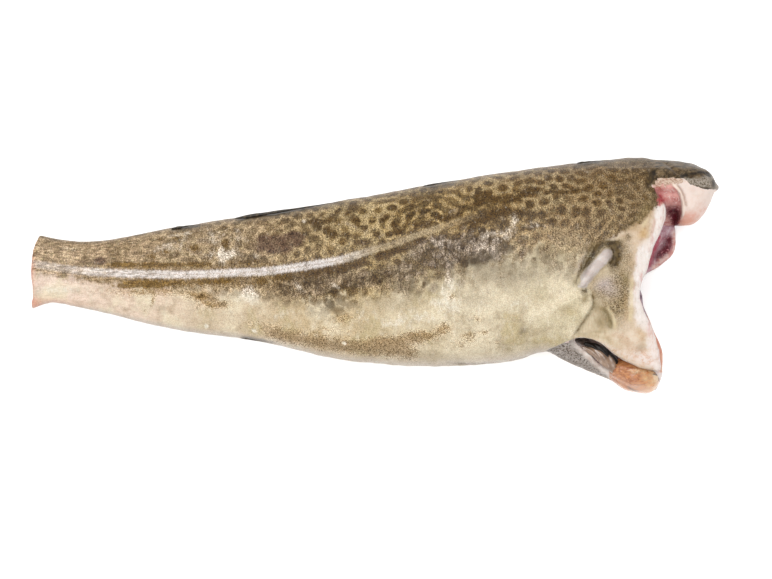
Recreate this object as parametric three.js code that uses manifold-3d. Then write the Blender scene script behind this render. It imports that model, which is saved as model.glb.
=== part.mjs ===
// A headed, gutted and trimmed cod, lying on its left flank with the right flank up.
// +X points to the head end, +Y to the back and +Z up. Lengths are in millimetres, and the
// origin is under the middle of the fish's box, on the surface that it lies on.
// Proportions are in hundredths of the overall length, written as [station, value] pairs:
// station 0 is the tail cut and station 100 is the tip of the nape.
import * as THREE from "three";
import { mergeVertices } from "three/addons/utils/BufferGeometryUtils.js";
import Module from "manifold-3d";

const wasm = await Module();
wasm.setup();

// ---- Driving dimensions ----
const LENGTH = 455; // tail cut to the tip of the nape
const HUNDREDTH = LENGTH / 100;
const SETTLE = 0.9; // height of the middle plane over the table, as a share of the half thickness
const FLAP_STEP = 1.1; // how far the lower flap's skin lies under the upper flap's edge
const TRUNK_START = -1; // the trunk runs past both cuts, and the knife trims it
const TRUNK_END = 95;
const TRUNK_STATIONS = 48;
const TRUNK_SIDES = 44;
const NAPE_STATIONS = 14;
const NAPE_SIDES = 24;
const CAVITY_STATIONS = 18;
const CAVITY_SIDES = 26;
const CUT_POINTS = 26; // points along each curved knife cut
const CLEAR = 30; // how far the cutters reach past the fish
const OVERLAP = 0.02; // how far two cutters that meet run into each other

// ---- Side profiles ----
const BACK = [
  [-1, 5.7], [0, 5.6], [4, 5.25], [7, 5.0], [10, 5.1], [15.7, 6.15], [24.5, 7.6], [33, 8.9],
  [42, 10.3], [51, 11.8], [60, 13.5], [68.5, 14.85], [77, 16.0], [83, 16.7], [89, 17.1],
  [94.7, 16.8], [97.5, 16.2], [99, 15.1], [100, 13.3],
];
const BELLY = [
  [-1, -4.8], [0, -4.55], [3, -4.05], [7, -4.8], [12.7, -6.15], [18.6, -7.5], [24.5, -8.6],
  [30.3, -9.25], [36.2, -10.3], [42, -11.7], [48, -12.75], [54, -13.2], [60, -13.3],
  [66, -13.0], [71, -12.35], [75, -11.2], [77.5, -12.4], [83, -14.8], [88.5, -17.0],
  [91, -17.1], [95, -16.5],
];
const HALF_THICKNESS = [
  [-1, 2.5], [0, 2.45], [4, 2.15], [8, 2.3], [14, 3.0], [24, 4.2], [33, 5.3], [42, 6.35],
  [51, 7.3], [60, 8.1], [69, 8.6], [78, 8.75], [86, 8.5], [92, 8.0], [95, 7.6],
];
// How fast the flank rounds off towards the belly and towards the back: 0.5 is an ellipse.
const BELLY_POWER = [[0, 0.5], [30, 0.52], [60, 0.58], [95, 0.6]];
const BACK_POWER = [[0, 0.5], [30, 0.46], [60, 0.43], [95, 0.42]];

// ---- The nape: a lobe of back muscle that stands forward of the collar ----
const NAPE_TOP_GAP = 0.05; // keeps the lobe's top just under the trunk's own back
const NAPE_UNDERSIDE = [
  [84, 9.5], [88, 8.4], [92, 7.3], [95, 7.1], [96.9, 7.4], [98.1, 8.7], [99.1, 10.7],
  [99.7, 12.2], [100, 12.9],
];
const NAPE_HALF_THICKNESS = [
  [84, 6.6], [88, 6.5], [92, 6.3], [95, 5.9], [97, 5.2], [98.4, 4.2], [99.4, 2.8], [99.8, 1.9],
  [100, 1.1],
];

// ---- Hollows: where the gills were, inside the collar, and the gutted belly behind it ----
const GILL_ROOF = [[88.6, 4.0], [89.6, 8.2], [91, 10.0], [97, 11.4]];
const GILL_FLOOR = [[88.6, 0], [89.6, -6.0], [91, -11.0], [97, -12.5]];
const GILL_HALF_WIDTH = [[88.6, 3.0], [89.6, 5.6], [91, 6.7], [97, 7.6]];
const CAVITY_ROOF = [[52, -5.2], [57, -3.0], [63, -1.2], [70, 0.9], [78, 3.0], [85, 4.3], [97, 4.9]];
const CAVITY_FLOOR = [
  [52, -7.2], [57, -8.8], [63, -9.6], [70, -9.4], [75, -8.2], [79, -9.3], [84, -11.4],
  [90, -13.6], [97, -14.4],
];
const CAVITY_HALF_WIDTH = [
  [52, 0.8], [57, 3.0], [63, 4.4], [70, 5.3], [78, 5.7], [86, 5.8], [92, 5.5], [97, 5.3],
];
const CAVITY_LIFT = 0.3; // over the middle plane, since the flank underneath is pressed thicker

// ---- Knife cuts, seen from the side as [station, height] ----
const TAIL_CUT = [[0.95, 30], [0.85, 5.6], [0.4, 3.2], [0.2, 0.6], [0.2, -3.2], [0, -4.5], [-0.6, -30]];
const UPPER_COLLAR = [
  [90.3, 22], [90.3, 17], [90.2, 13.5], [91.2, 11.4], [92.3, 10], [92.3, 8.4], [91.6, 6.1],
  [90.4, 3.7], [89.6, 0.9], [89.0, -2.2], [88.9, -4.8], [90.1, -7.0], [91, -9], [91.8, -11.7],
  [91.7, -15.4], [90.6, -18], [90.2, -22],
];
const LOWER_COLLAR = [
  [90.3, 22], [90.3, 17], [90.6, 13.5], [92, 11.4], [93.2, 9], [93.7, 6.2], [93.8, 4.2],
  [92.6, 2.4], [90.4, 0.8], [89.3, -2.2], [89.4, -4.8], [90.5, -7.0], [91.5, -9], [92, -11.7],
  [91.7, -15.4], [90.6, -18], [90.2, -22],
];
// The belly slit gapes between the free edges of the upper and the lower flap.
const UPPER_FLAP_EDGE = [[79.2, -9.1], [80.9, -9.15], [83, -10.0], [85.4, -11.8], [88.5, -13.4]];
const LOWER_FLAP_EDGE = [[88.5, -16.4], [86.6, -15.7], [83.6, -13.5], [81, -11.2], [79.2, -9.7]];
const SLIT_FLOOR = 9; // level that the slit is cut down to, inside the cavity
// Behind the slit the upper flap lies over the lower one, and bares this corner of its skin.
const FLAP_OVERLAP = [[75, -11.0], [76.4, -10.3], [78, -9.55], [79.2, -9.1]];
const BARE_CORNERS = [[88.5, -22], [74.4, -22]];

// ---- Muscle left at the throat, the pectoral fin's stub and the end of the backbone ----
const THROAT = { at: [88.1, -14.5, 6.9], size: [3.9, 2.45, 4.4], turn: [0, 0, -0.35] };
const FIN_STUB = { at: [82.6, 1.1, 15.75], size: [3.1, 1.0, 0.9], turn: [0, 0.12, 0.79] };
const BACKBONE = { from: 85, to: 90.6, height: 6.3, radius: 1.4 };

// A smooth curve through [station, value] pairs, as a function of the station.
function profile(pairs) {
  const last = pairs.length - 1;
  const slope = (i) => {
    const [before, after] = [pairs[Math.max(i - 1, 0)], pairs[Math.min(i + 1, last)]];
    return (after[1] - before[1]) / (after[0] - before[0]);
  };
  return (station) => {
    const next = pairs.findIndex((pair) => pair[0] > station);
    const i = next < 0 ? last - 1 : Math.max(next - 1, 0);
    const span = pairs[i + 1][0] - pairs[i][0];
    const s = THREE.MathUtils.clamp((station - pairs[i][0]) / span, 0, 1);
    return (
      (1 + 2 * s) * (1 - s) ** 2 * pairs[i][1] +
      s * (1 - s) ** 2 * span * slope(i) +
      s ** 2 * (3 - 2 * s) * pairs[i + 1][1] -
      s ** 2 * (1 - s) * span * slope(i + 1)
    );
  };
}

const back = profile(BACK);
const belly = profile(BELLY);
const halfThickness = profile(HALF_THICKNESS);
const middle = (station) => SETTLE * halfThickness(station);

// A point given as station, height and level, in hundredths, in the fish's own frame.
function place(station, height, level) {
  return new THREE.Vector3(station - 50, height, level).multiplyScalar(HUNDREDTH);
}

// The half thickness at a share of the depth, from 0 at the belly to 1 at the back.
function fullness(share, bellyPower, backPower) {
  const widest = bellyPower / (bellyPower + backPower);
  const shape = (t) => t ** bellyPower * (1 - t) ** backPower;
  return shape(share) / shape(widest);
}

// One closed ring of points between a lower and an upper height, round a level.
function ring(sides, station, [low, high], half, level, [bellyPower, backPower]) {
  return Array.from({ length: sides }, (_, i) => {
    const angle = (2 * Math.PI * i) / sides;
    const share = (1 - Math.cos(angle)) / 2;
    const out = Math.sign(Math.sin(angle)) * half * fullness(share, bellyPower, backPower);
    return [station, THREE.MathUtils.lerp(low, high, share), level + out];
  });
}

// A closed solid through rings of points, with a fan over each end.
function loft(rings) {
  const sides = rings[0].length;
  const centres = [rings[0], rings.at(-1)].map((points) =>
    [0, 1, 2].map((axis) => points.reduce((sum, p) => sum + p[axis], 0) / sides),
  );
  const positions = [...rings.flat(), ...centres].flatMap((p) => place(...p).toArray());
  const tailCentre = rings.length * sides;
  const lastRing = tailCentre - sides;
  const faces = [];
  for (let j = 0; j < sides; j++) {
    const next = (j + 1) % sides;
    for (let row = 0; row < lastRing; row += sides) {
      faces.push(row + j, row + sides + j, row + next);
      faces.push(row + next, row + sides + j, row + sides + next);
    }
    faces.push(tailCentre, j, next, tailCentre + 1, lastRing + next, lastRing + j);
  }
  const geometry = new THREE.BufferGeometry();
  geometry.setAttribute("position", new THREE.Float32BufferAttribute(positions, 3));
  geometry.setIndex(faces);
  return geometry;
}

// A loft whose outline, at each of some stations, runs between two profiles.
function hollow(count, sides, floorPairs, roofPairs, halfPairs, level, powers) {
  const [floor, roof, half] = [floorPairs, roofPairs, halfPairs].map(profile);
  const [from, to] = [roofPairs[0][0], roofPairs.at(-1)[0]];
  return loft(
    stations(count, from, to).map((s) =>
      ring(sides, s, [floor(s), roof(s)], half(s), level(s), powers),
    ),
  );
}

function stations(count, from, to) {
  return Array.from({ length: count }, (_, i) => THREE.MathUtils.lerp(from, to, i / (count - 1)));
}

// The whole body without its hollows. The flank underneath is pressed flat on the table.
function trunk() {
  const [bellyPower, backPower] = [BELLY_POWER, BACK_POWER].map(profile);
  const rings = stations(TRUNK_STATIONS, TRUNK_START, TRUNK_END).map((s) =>
    ring(TRUNK_SIDES, s, [belly(s), back(s)], halfThickness(s), middle(s), [bellyPower(s), backPower(s)]),
  );
  for (const point of rings.flat()) point[2] = Math.max(point[2], 0);
  return loft(rings);
}

function nape() {
  const [underside, half] = [NAPE_UNDERSIDE, NAPE_HALF_THICKNESS].map(profile);
  const [from, to] = [NAPE_UNDERSIDE[0][0], NAPE_UNDERSIDE.at(-1)[0]];
  // The rings crowd together towards the rounded tip.
  const crowded = stations(NAPE_STATIONS, 0, Math.PI / 2).map((turn) => from + (to - from) * Math.sin(turn));
  return loft(
    crowded.map((s) =>
      ring(NAPE_SIDES, s, [underside(s), back(s) - NAPE_TOP_GAP], half(s), middle(92), [0.42, 0.46]),
    ),
  );
}

function gillChamber() {
  return hollow(8, CAVITY_SIDES, GILL_FLOOR, GILL_ROOF, GILL_HALF_WIDTH, middle, [0.45, 0.4]);
}

function cavity() {
  const level = (station) => middle(station) + CAVITY_LIFT;
  return hollow(
    CAVITY_STATIONS, CAVITY_SIDES, CAVITY_FLOOR, CAVITY_ROOF, CAVITY_HALF_WIDTH, level, [0.5, 0.45],
  );
}

// A vertical prism over an outline of [station, height] points, between two levels.
function prism(outline, low, high) {
  const corners = outline.map(([station, height]) => place(station, height, 0));
  const shape = new THREE.Shape(corners.map((p) => new THREE.Vector2(p.x, p.y)));
  const depth = (high - low) * HUNDREDTH;
  return new THREE.ExtrudeGeometry(shape, { depth, bevelEnabled: false })
    .translate(0, 0, low * HUNDREDTH);
}

// Points along the smooth line through a few of them.
function smoothLine(points, count) {
  const curve = new THREE.SplineCurve(points.map(([x, y]) => new THREE.Vector2(x, y)));
  return curve.getPoints(count).map((p) => [p.x, p.y]);
}

// Everything beyond a curved cut, out to a far station, between two levels.
function knifeCut(line, far, low, high) {
  const curve = smoothLine(line, CUT_POINTS);
  return prism([...curve, [far, line.at(-1)[1]], [far, line[0][1]]], low, high);
}

function slit() {
  return prism([...smoothLine(UPPER_FLAP_EDGE, 8), ...smoothLine(LOWER_FLAP_EDGE, 8)], SLIT_FLOOR, CLEAR);
}

function bareCorner() {
  const edge = [...smoothLine(FLAP_OVERLAP, 5), ...smoothLine(UPPER_FLAP_EDGE, 8).slice(1)];
  return prism([...edge, ...BARE_CORNERS], -CLEAR, CLEAR);
}

function ellipsoid({ at, size, turn }) {
  return new THREE.SphereGeometry(1, 20, 14)
    .scale(...size.map((s) => s * HUNDREDTH))
    .applyMatrix4(new THREE.Matrix4().makeRotationFromEuler(new THREE.Euler(...turn)))
    .translate(...place(...at).toArray());
}

function backbone() {
  const { from, to, height, radius } = BACKBONE;
  return new THREE.CylinderGeometry(radius * HUNDREDTH, radius * HUNDREDTH, (to - from) * HUNDREDTH, 18)
    .rotateZ(Math.PI / 2)
    .translate(...place((from + to) / 2, height, middle(90)).toArray());
}

// A three.js geometry as a manifold solid.
function solid(geometry) {
  const bare = geometry.clone();
  bare.deleteAttribute("normal");
  bare.deleteAttribute("uv");
  const merged = mergeVertices(bare, 1e-3);
  return new wasm.Manifold(
    new wasm.Mesh({
      numProp: 3,
      vertProperties: new Float32Array(merged.attributes.position.array),
      triVerts: new Uint32Array(merged.index.array),
    }),
  );
}

function codSolid() {
  const whole = solid(trunk());
  const lowered = whole.translate([0, 0, -FLAP_STEP * HUNDREDTH]);
  const split = middle(92);
  return whole
    .subtract(solid(knifeCut(TAIL_CUT.toReversed(), -CLEAR, -CLEAR, CLEAR)))
    .subtract(solid(knifeCut(UPPER_COLLAR, 100 + CLEAR, split, CLEAR)))
    .subtract(solid(knifeCut(LOWER_COLLAR, 100 + CLEAR, -CLEAR, split + OVERLAP)))
    .subtract(solid(bareCorner()).subtract(lowered))
    .subtract(solid(gillChamber()))
    .add(solid(nape()))
    .subtract(solid(cavity()))
    .subtract(solid(slit()))
    .add(solid(backbone()))
    .add(solid(ellipsoid(THROAT)))
    .add(solid(ellipsoid(FIN_STUB)));
}

function geometryOf(manifold) {
  const { vertProperties, triVerts } = manifold.getMesh();
  const geometry = new THREE.BufferGeometry();
  geometry.setAttribute("position", new THREE.BufferAttribute(vertProperties, 3));
  geometry.setIndex(new THREE.BufferAttribute(triVerts, 1));
  geometry.computeVertexNormals();
  return geometry;
}

const skin = new THREE.MeshStandardMaterial({ color: 0xa8946f, roughness: 0.42, metalness: 0 });
const cod = new THREE.Mesh(geometryOf(codSolid()), skin);
cod.name = "cod";

// The fish is moved so that its box stands centred over the origin.
cod.geometry.computeBoundingBox();
const { min, max } = cod.geometry.boundingBox;
cod.position.set(-(min.x + max.x) / 2, -(min.y + max.y) / 2, -min.z);

const group = new THREE.Group();
group.add(cod);

export default group;
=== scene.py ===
# A headed, gutted and trimmed cod, lying on its left flank with the right flank up.
# Stations run along the fish in hundredths of its length, from 0 at the tail cut to 100 at
# the tip of the nape. Heights run from the belly to the back in the same unit, and levels
# from the table upwards. The CAD frame gives the unit and where station 0 and height 0 are.
import math

import bmesh
import bpy
import numpy as np
import openvdb as vdb
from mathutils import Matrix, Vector


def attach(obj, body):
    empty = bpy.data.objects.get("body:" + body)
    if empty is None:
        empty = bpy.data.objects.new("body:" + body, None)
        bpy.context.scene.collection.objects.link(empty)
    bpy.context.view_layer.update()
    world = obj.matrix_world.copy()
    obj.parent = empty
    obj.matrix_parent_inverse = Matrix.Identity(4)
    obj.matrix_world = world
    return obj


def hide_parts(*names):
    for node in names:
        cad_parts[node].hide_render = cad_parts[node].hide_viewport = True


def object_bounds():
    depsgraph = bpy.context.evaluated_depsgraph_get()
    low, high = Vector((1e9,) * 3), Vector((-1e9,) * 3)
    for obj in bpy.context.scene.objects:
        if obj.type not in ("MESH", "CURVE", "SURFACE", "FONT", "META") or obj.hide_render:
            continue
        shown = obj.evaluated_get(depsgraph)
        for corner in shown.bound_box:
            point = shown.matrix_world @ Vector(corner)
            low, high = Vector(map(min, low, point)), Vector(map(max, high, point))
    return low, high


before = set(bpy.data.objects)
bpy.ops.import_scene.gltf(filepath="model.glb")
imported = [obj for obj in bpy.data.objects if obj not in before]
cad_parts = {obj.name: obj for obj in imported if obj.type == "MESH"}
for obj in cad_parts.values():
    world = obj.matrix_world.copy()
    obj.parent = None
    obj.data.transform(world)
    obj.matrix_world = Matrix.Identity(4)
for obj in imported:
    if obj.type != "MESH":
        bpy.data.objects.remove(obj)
cad_low, cad_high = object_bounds()

# ---- The fish's own frame ----
UNIT = (cad_high.x - cad_low.x) / 100
BACK_TOP = 17.12  # the height of the back where it is highest, at the edge of the CAD box
BODY_ORIGIN = Vector((cad_low.x, cad_high.y - BACK_TOP * UNIT, 0))
MM = 0.001

VOXEL = 1.4 * MM
BAND = 9  # voxels that each distance field reaches to either side of its surface
MARGIN = 5  # voxels of empty space round the fish

# ---- Side profiles, as the CAD source has them, with the tail's flare ----
SETTLE = 0.9  # the middle level as a share of the half thickness, on the flat underside
BACK = [
    (-1, 6.7), (0, 6.4), (1.6, 5.75), (4, 5.3), (7, 5), (10, 5.1), (15.7, 6.15), (24.5, 7.6),
    (33, 8.9), (42, 10.3), (51, 11.8), (60, 13.5), (68.5, 14.85), (77, 16), (83, 16.7), (89, 17.1),
    (94.7, 16.8), (97.5, 16.2), (99, 15.1), (100, 13.3),
]
BELLY = [
    (-1, -5.3), (0, -4.9), (1.4, -4.3), (3, -4.05), (7, -4.8), (12.7, -6.15), (18.6, -7.5),
    (24.5, -8.6), (30.3, -9.25), (36.2, -10.3), (42, -11.7), (48, -12.75), (54, -13.2), (60, -13.3),
    (66, -13), (71, -12.35), (75, -11.2), (77.5, -12.4), (83, -14.8), (88.5, -17), (91, -17.1),
    (95, -16.5),
]
HALF_THICKNESS = [
    (-1, 2.5), (0, 2.45), (4, 2.15), (8, 2.3), (14, 3), (24, 4.2), (33, 5.3), (42, 6.35), (51, 7.3),
    (60, 8.1), (69, 8.6), (78, 8.75), (86, 8.5), (92, 8), (95, 7.6),
]
BELLY_POWER = [(0, 0.5), (30, 0.52), (60, 0.58), (95, 0.6)]
BACK_POWER = [(0, 0.5), (30, 0.46), (60, 0.43), (95, 0.42)]
NAPE_UNDERSIDE = [
    (84, 9.5), (88, 8.4), (92, 7.3), (95, 7.1), (96.9, 7.4), (98.1, 8.7), (99.1, 10.7),
    (99.7, 12.2), (100, 12.9),
]
NAPE_HALF_THICKNESS = [
    (84, 6.6), (88, 6.5), (92, 6.3), (95, 5.9), (97, 5.2), (98.4, 4.2), (99.4, 2.8), (99.8, 1.9),
    (100, 1.1),
]
GILL_ROOF = [(88.6, 4), (89.6, 8.2), (91, 10), (97, 11.4)]
GILL_FLOOR = [(88.6, 0), (89.6, -6), (91, -11), (97, -12.5)]
GILL_HALF_WIDTH = [(88.6, 3), (89.6, 5.3), (91, 6), (97, 6.1)]
CAVITY_ROOF = [(52, -5.2), (57, -3), (63, -1.2), (70, 0.9), (78, 3), (85, 4.3), (97, 4.9)]
CAVITY_FLOOR = [
    (52, -7.2), (57, -8.8), (63, -9.6), (70, -9.4), (75, -8.2), (79, -9.3), (84, -11.4),
    (90, -13.6), (97, -14.4),
]
CAVITY_HALF_WIDTH = [
    (52, 0.8), (57, 3), (63, 4.4), (70, 5.3), (78, 5.7), (86, 5.8), (92, 5.5), (97, 5.3),
]
CAVITY_LIFT = 0.3  # over the middle level

# ---- Knife cuts, as (station, height) ----
TAIL_CUT = [(0.85, 6), (0.3, 4.4), (0, 2.8), (-0.15, 0.6), (0, -3), (-0.35, -4.8)]
NEAR_COLLAR = [
    (90.3, 17), (90.2, 13.5), (91, 11.6), (91.9, 10.2), (92, 8.5), (91.2, 6.1), (90.1, 3.8),
    (89.3, 1), (88.35, -1.7), (88.75, -4.7), (89.9, -7), (90.6, -8.7), (91.5, -11.7), (91.6, -15.4),
    (90.6, -18),
]
FAR_COLLAR = [
    (90.3, 17), (90.6, 13.5), (92.4, 11.4), (94, 9), (94.6, 6.9), (94.8, 5.6), (94.8, 4.4),
    (94.2, 2.9), (92.6, 1.5), (90.1, 0), (89.2, -1.5), (89.7, -2.9), (89.9, -4.4), (90.5, -5.9),
    (91, -7.3), (91.7, -8.8), (92.3, -10.2), (92.6, -11.7), (92, -15.4), (90.6, -18),
]
UPPER_FLAP_EDGE = [(79.2, -9.1), (80.9, -9.15), (83, -10), (85.4, -11.8), (88.5, -13.4)]
LOWER_FLAP_EDGE = [(88.5, -16.4), (86.6, -15.7), (83.6, -13.5), (81, -11.2), (79.2, -9.7)]
SLIT_FLOOR = 9  # the level that the slit is open down to
FLAP_OVERLAP = [(75, -11), (76.4, -10.3), (78, -9.55), (79.2, -9.1)]
FLAP_STEP = 1.1  # how far the lower flap lies under the upper one
BACKBONE_END = 90.6  # the station of its cut end
BACKBONE_HEIGHT = 6.3
BACKBONE_RADIUS = 1.4


def profile(pairs):
    """A smooth curve through (station, value) pairs, as a function of an array of stations."""
    xs = np.array([p[0] for p in pairs], float)
    ys = np.array([p[1] for p in pairs], float)
    slopes = np.empty_like(ys)
    slopes[1:-1] = (ys[2:] - ys[:-2]) / (xs[2:] - xs[:-2])
    slopes[0] = (ys[1] - ys[0]) / (xs[1] - xs[0])
    slopes[-1] = (ys[-1] - ys[-2]) / (xs[-1] - xs[-2])

    def value(station):
        station = np.asarray(station, float)
        i = np.clip(np.searchsorted(xs, station, side="right") - 1, 0, len(xs) - 2)
        span = xs[i + 1] - xs[i]
        t = np.clip((station - xs[i]) / span, 0, 1)
        return (
            (1 + 2 * t) * (1 - t) ** 2 * ys[i]
            + t * (1 - t) ** 2 * span * slopes[i]
            + t**2 * (3 - 2 * t) * ys[i + 1]
            - t**2 * (1 - t) * span * slopes[i + 1]
        )

    return value


back = profile(BACK)
belly = profile(BELLY)
half_thickness = profile(HALF_THICKNESS)


def middle(station):
    return SETTLE * half_thickness(station)


def place(points):
    """(station, height, level) points in metres, in the CAD frame."""
    return np.asarray(points, float) * UNIT + np.array(BODY_ORIGIN)


def fullness(share, belly_power, back_power):
    """The half thickness at a share of the depth, from 0 at the belly to 1 at the back."""
    widest = belly_power / (belly_power + back_power)
    shape = share**belly_power * (1 - share) ** back_power
    return shape / (widest**belly_power * (1 - widest) ** back_power)


def ring_faces(rings, sides):
    """The points of a ring, those after them, and the quads from each ring to the next."""
    ring = np.arange(sides)
    after = (ring + 1) % sides
    low = np.arange(rings - 1)[:, None] * sides
    high = low + sides
    quads = np.stack([low + ring, high + ring, high + after, low + after], axis=-1)
    return ring, after, quads.reshape(-1, 4)


def loft(stations, sides, low, high, half, level, belly_power, back_power):
    """Points, side quads and end triangles of a closed solid through rings."""
    angle = np.linspace(0, 2 * np.pi, sides, endpoint=False)
    share = (1 - np.cos(angle)) / 2
    rows = []
    for s in stations:
        out = np.sign(np.sin(angle)) * half(s) * fullness(share, belly_power(s), back_power(s))
        height = low(s) + (high(s) - low(s)) * share
        rows.append(np.stack([np.full(sides, s), height, level(s) + out], axis=1))
    points = np.concatenate(rows)
    centres = np.stack([rows[0].mean(axis=0), rows[-1].mean(axis=0)])
    ring, after, quads = ring_faces(len(rows), sides)
    tail, head, last = len(points), len(points) + 1, len(points) - sides
    caps = np.concatenate(
        [
            np.stack([np.full(sides, tail), ring, after], axis=1),
            np.stack([np.full(sides, head), last + after, last + ring], axis=1),
        ]
    )
    return np.concatenate([points, centres]), quads, caps


def constant(value):
    return lambda station: value


# ---- Distance fields on one grid round the fish ----
grid_low = np.floor(np.array(cad_low) / VOXEL).astype(int) - MARGIN
grid_size = np.ceil(np.array(cad_high) / VOXEL).astype(int) + MARGIN - grid_low
TRANSFORM = vdb.createLinearTransform(voxelSize=VOXEL)
axes = [(grid_low[i] + np.arange(grid_size[i])) * VOXEL for i in range(3)]
S = ((axes[0] - BODY_ORIGIN.x) / UNIT)[:, None, None]
H = ((axes[1] - BODY_ORIGIN.y) / UNIT)[None, :, None]
Z = (axes[2] / UNIT)[None, None, :]


def field(points, quads, caps):
    """The signed distance in metres to a closed shape, on the whole grid."""
    grid = vdb.FloatGrid.createLevelSetFromPolygons(
        place(points).astype(np.float32), caps.astype(np.uint32), quads.astype(np.uint32),
        TRANSFORM, BAND,
    )
    values = np.empty(grid_size, np.float32)
    grid.copyToArray(values, ijk=tuple(int(v) for v in grid_low))
    return values


def smooth_min(a, b, width):
    reach = np.maximum(width - np.abs(a - b), 0) / width
    return np.minimum(a, b) - reach * reach * width / 4


def smooth_max(a, b, width):
    return -smooth_min(-a, -b, width)


def step(value, low, high):
    t = np.clip((value - low) / (high - low), 0, 1)
    return t * t * (3 - 2 * t)


def smooth_line(points, count):
    """Points along the smooth curve through a few of them."""
    points = np.array(points, float)
    padded = np.concatenate([points[:1], points, points[-1:]])
    found = []
    for i in range(len(points) - 1):
        p0, p1, p2, p3 = padded[i : i + 4]
        t = np.linspace(0, 1, count, endpoint=False)[:, None]
        found.append(
            0.5 * (2 * p1 + (p2 - p0) * t + (2 * p0 - 5 * p1 + 4 * p2 - p3) * t**2
                   + (3 * p1 - p0 - 3 * p2 + p3) * t**3)
        )
    return np.concatenate(found + [points[-1:]])


LINE_STEPS = 5  # straight pieces of a marked line between two of its points
LINE_END = 0.001  # keeps a line that fades out just above nothing at its ends


def near_line(points, s, h):
    """The same as line_distance, for the smooth curve through a few points."""
    return line_distance(smooth_line(points, LINE_STEPS), s, h)


def line_distance(line, s, h):
    """How far each (s, h) is from a broken line, on which side, and how far along it."""
    best = np.full(np.broadcast(s, h).shape, np.inf)
    side = np.zeros_like(best)
    along = np.zeros_like(best)
    run = 0.0
    for (ax, ay), (bx, by) in zip(line[:-1], line[1:]):
        dx, dy = bx - ax, by - ay
        length = math.hypot(dx, dy)
        if length == 0:
            continue
        t = np.clip(((s - ax) * dx + (h - ay) * dy) / length**2, 0, 1)
        distance = np.hypot(s - ax - t * dx, h - ay - t * dy)
        nearer = distance < best
        best = np.where(nearer, distance, best)
        side = np.where(nearer, np.sign((h - ay) * dx - (s - ax) * dy), side)
        along = np.where(nearer, run + t * length, along)
        run += length
    return best, side, along


def outline_distance(outline, s, h):
    """The signed distance to a closed outline of (station, height) points, inside negative."""
    closed = np.concatenate([outline, outline[:1]])
    distance, _, _ = line_distance(closed, s, h)
    inside = np.zeros(distance.shape, bool)
    for (ax, ay), (bx, by) in zip(closed[:-1], closed[1:]):
        if ay == by:
            continue
        crosses = ((ay > h) != (by > h)) & (s < (bx - ax) * (h - ay) / (by - ay) + ax)
        inside ^= crosses
    return np.where(inside, -distance, distance)


def cut_distance(line, height):
    """How far forward of a knife cut each point is, with the cut given as (station, height)."""
    ordered = sorted(((h, s) for s, h in line))
    station = profile(ordered)
    lean = (station(height + 0.05) - station(height - 0.05)) / 0.1
    return (S - station(height)) / np.sqrt(1 + lean**2)


# ---- What the camera sees from straight above ----
LENS = 135  # millimetres, as the sensor's width is
SENSOR = 36
VIEW_WIDTH = 0.5114  # metres of the table across the picture, at the fish's middle level
LOOK = (51.9, -2.1)  # the station and height under the camera
MIDDLE_LEVEL = 7.5
CAMERA_HEIGHT = LENS / SENSOR * VIEW_WIDTH / UNIT  # over the middle level


def seen(s, h, level):
    """Where the camera sees each point, on the middle level. The marks below are given there."""
    growth = CAMERA_HEIGHT / (CAMERA_HEIGHT - (level - MIDDLE_LEVEL))
    return LOOK[0] + (s - LOOK[0]) * growth, LOOK[1] + (h - LOOK[1]) * growth


# ---- Marks on the upper flank, as (station, height) ----
LATERAL_LINE = [
    (-1, 1.9), (3.1, 1.25), (6, 0.8), (10, 0.42), (14, 0.24), (18, 0.12), (22, 0.2), (26, 0.36),
    (30, 0.56), (34, 0.72), (38, 1.2), (43, 1.95), (46, 2.5), (50.1, 3.7), (52.9, 4.45),
    (55.8, 5.55), (58.7, 6.6), (63.5, 8.15), (69.4, 10.2), (78, 12.2), (88, 13.6),
]
SKIN_EDGE = [
    (91, 13.4), (91.15, 12.3), (91.15, 11.2), (90.75, 10.2), (89.85, 9), (88.7, 7.9), (87.4, 7),
    (85.9, 6.3), (84.3, 5.6), (83.2, 4.7), (82.1, 3.7), (81.3, 2.3), (80.4, 0.7), (79.8, -0.7),
    (79.4, -2.2),
]
ARMPIT = [(83.7, 4.9), (82.6, 4), (81.7, 2.7), (80.9, 1.2), (80.3, -0.1)]
ARMPIT_RIDGE = [(82.6, 4.7), (81.6, 3.3), (80.9, 1.9), (80.2, 0.4)]
ARMPIT_RIM = [(82.7, 5.1), (81.6, 3.8), (80.7, 2.3), (80, 0.4), (79.6, -1.2), (79.5, -2.2)]
FIN_BASE = [(84.1, 3), (83.1, 1.9), (81.9, 0.7), (80.9, -0.6), (80.4, -1.3)]
FIN_PIT = [(84.7, 4.2), (85, 3.2), (85.1, 2.1), (84.9, 1.1)]
FLAP_GROOVE = [
    (80.5, -1.9), (81.6, -2.2), (82.1, -3.4), (82.1, -4.4), (81.4, -5.7), (80.5, -6.9),
    (79.6, -8.2), (79.1, -8.9),
]
POCKET_RIM = [(83.2, -4.5), (84, -5.4), (84.5, -6.6), (84.6, -7.5), (84.2, -8.1)]
POCKET_FOLD = [(79.4, -8.9), (80.7, -8.6), (81.8, -8.3), (83.2, -8.3), (84, -8.2)]
NAPE_CREASE = [(91.2, 15.6), (90.6, 14.5), (90.1, 13.3), (89.8, 12.2)]
CAP_EDGE = [
    (84, 13.2), (90.3, 12.9), (91.4, 13.8), (92.7, 14.1), (94.1, 14.1), (95.3, 13.9), (96.2, 13.2),
    (97.2, 12.8), (98.1, 12.5), (99.1, 12.45), (101, 12.4),
]
CAP_FOLD = [(93, 16.1), (94, 15.2), (95.3, 14.5), (96.9, 14.3), (98.2, 14.6), (99, 14.9)]
LOIN_RIDGE = [(93.7, 13.2), (94.4, 12.3), (94.9, 11), (95.1, 9.7), (94.9, 8.6), (94.3, 7.4)]
CLOSED_SLIT = [(60.8, -12.75), (64, -12.95), (68, -12.85), (71.5, -12.3), (74.4, -11.3)]


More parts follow.
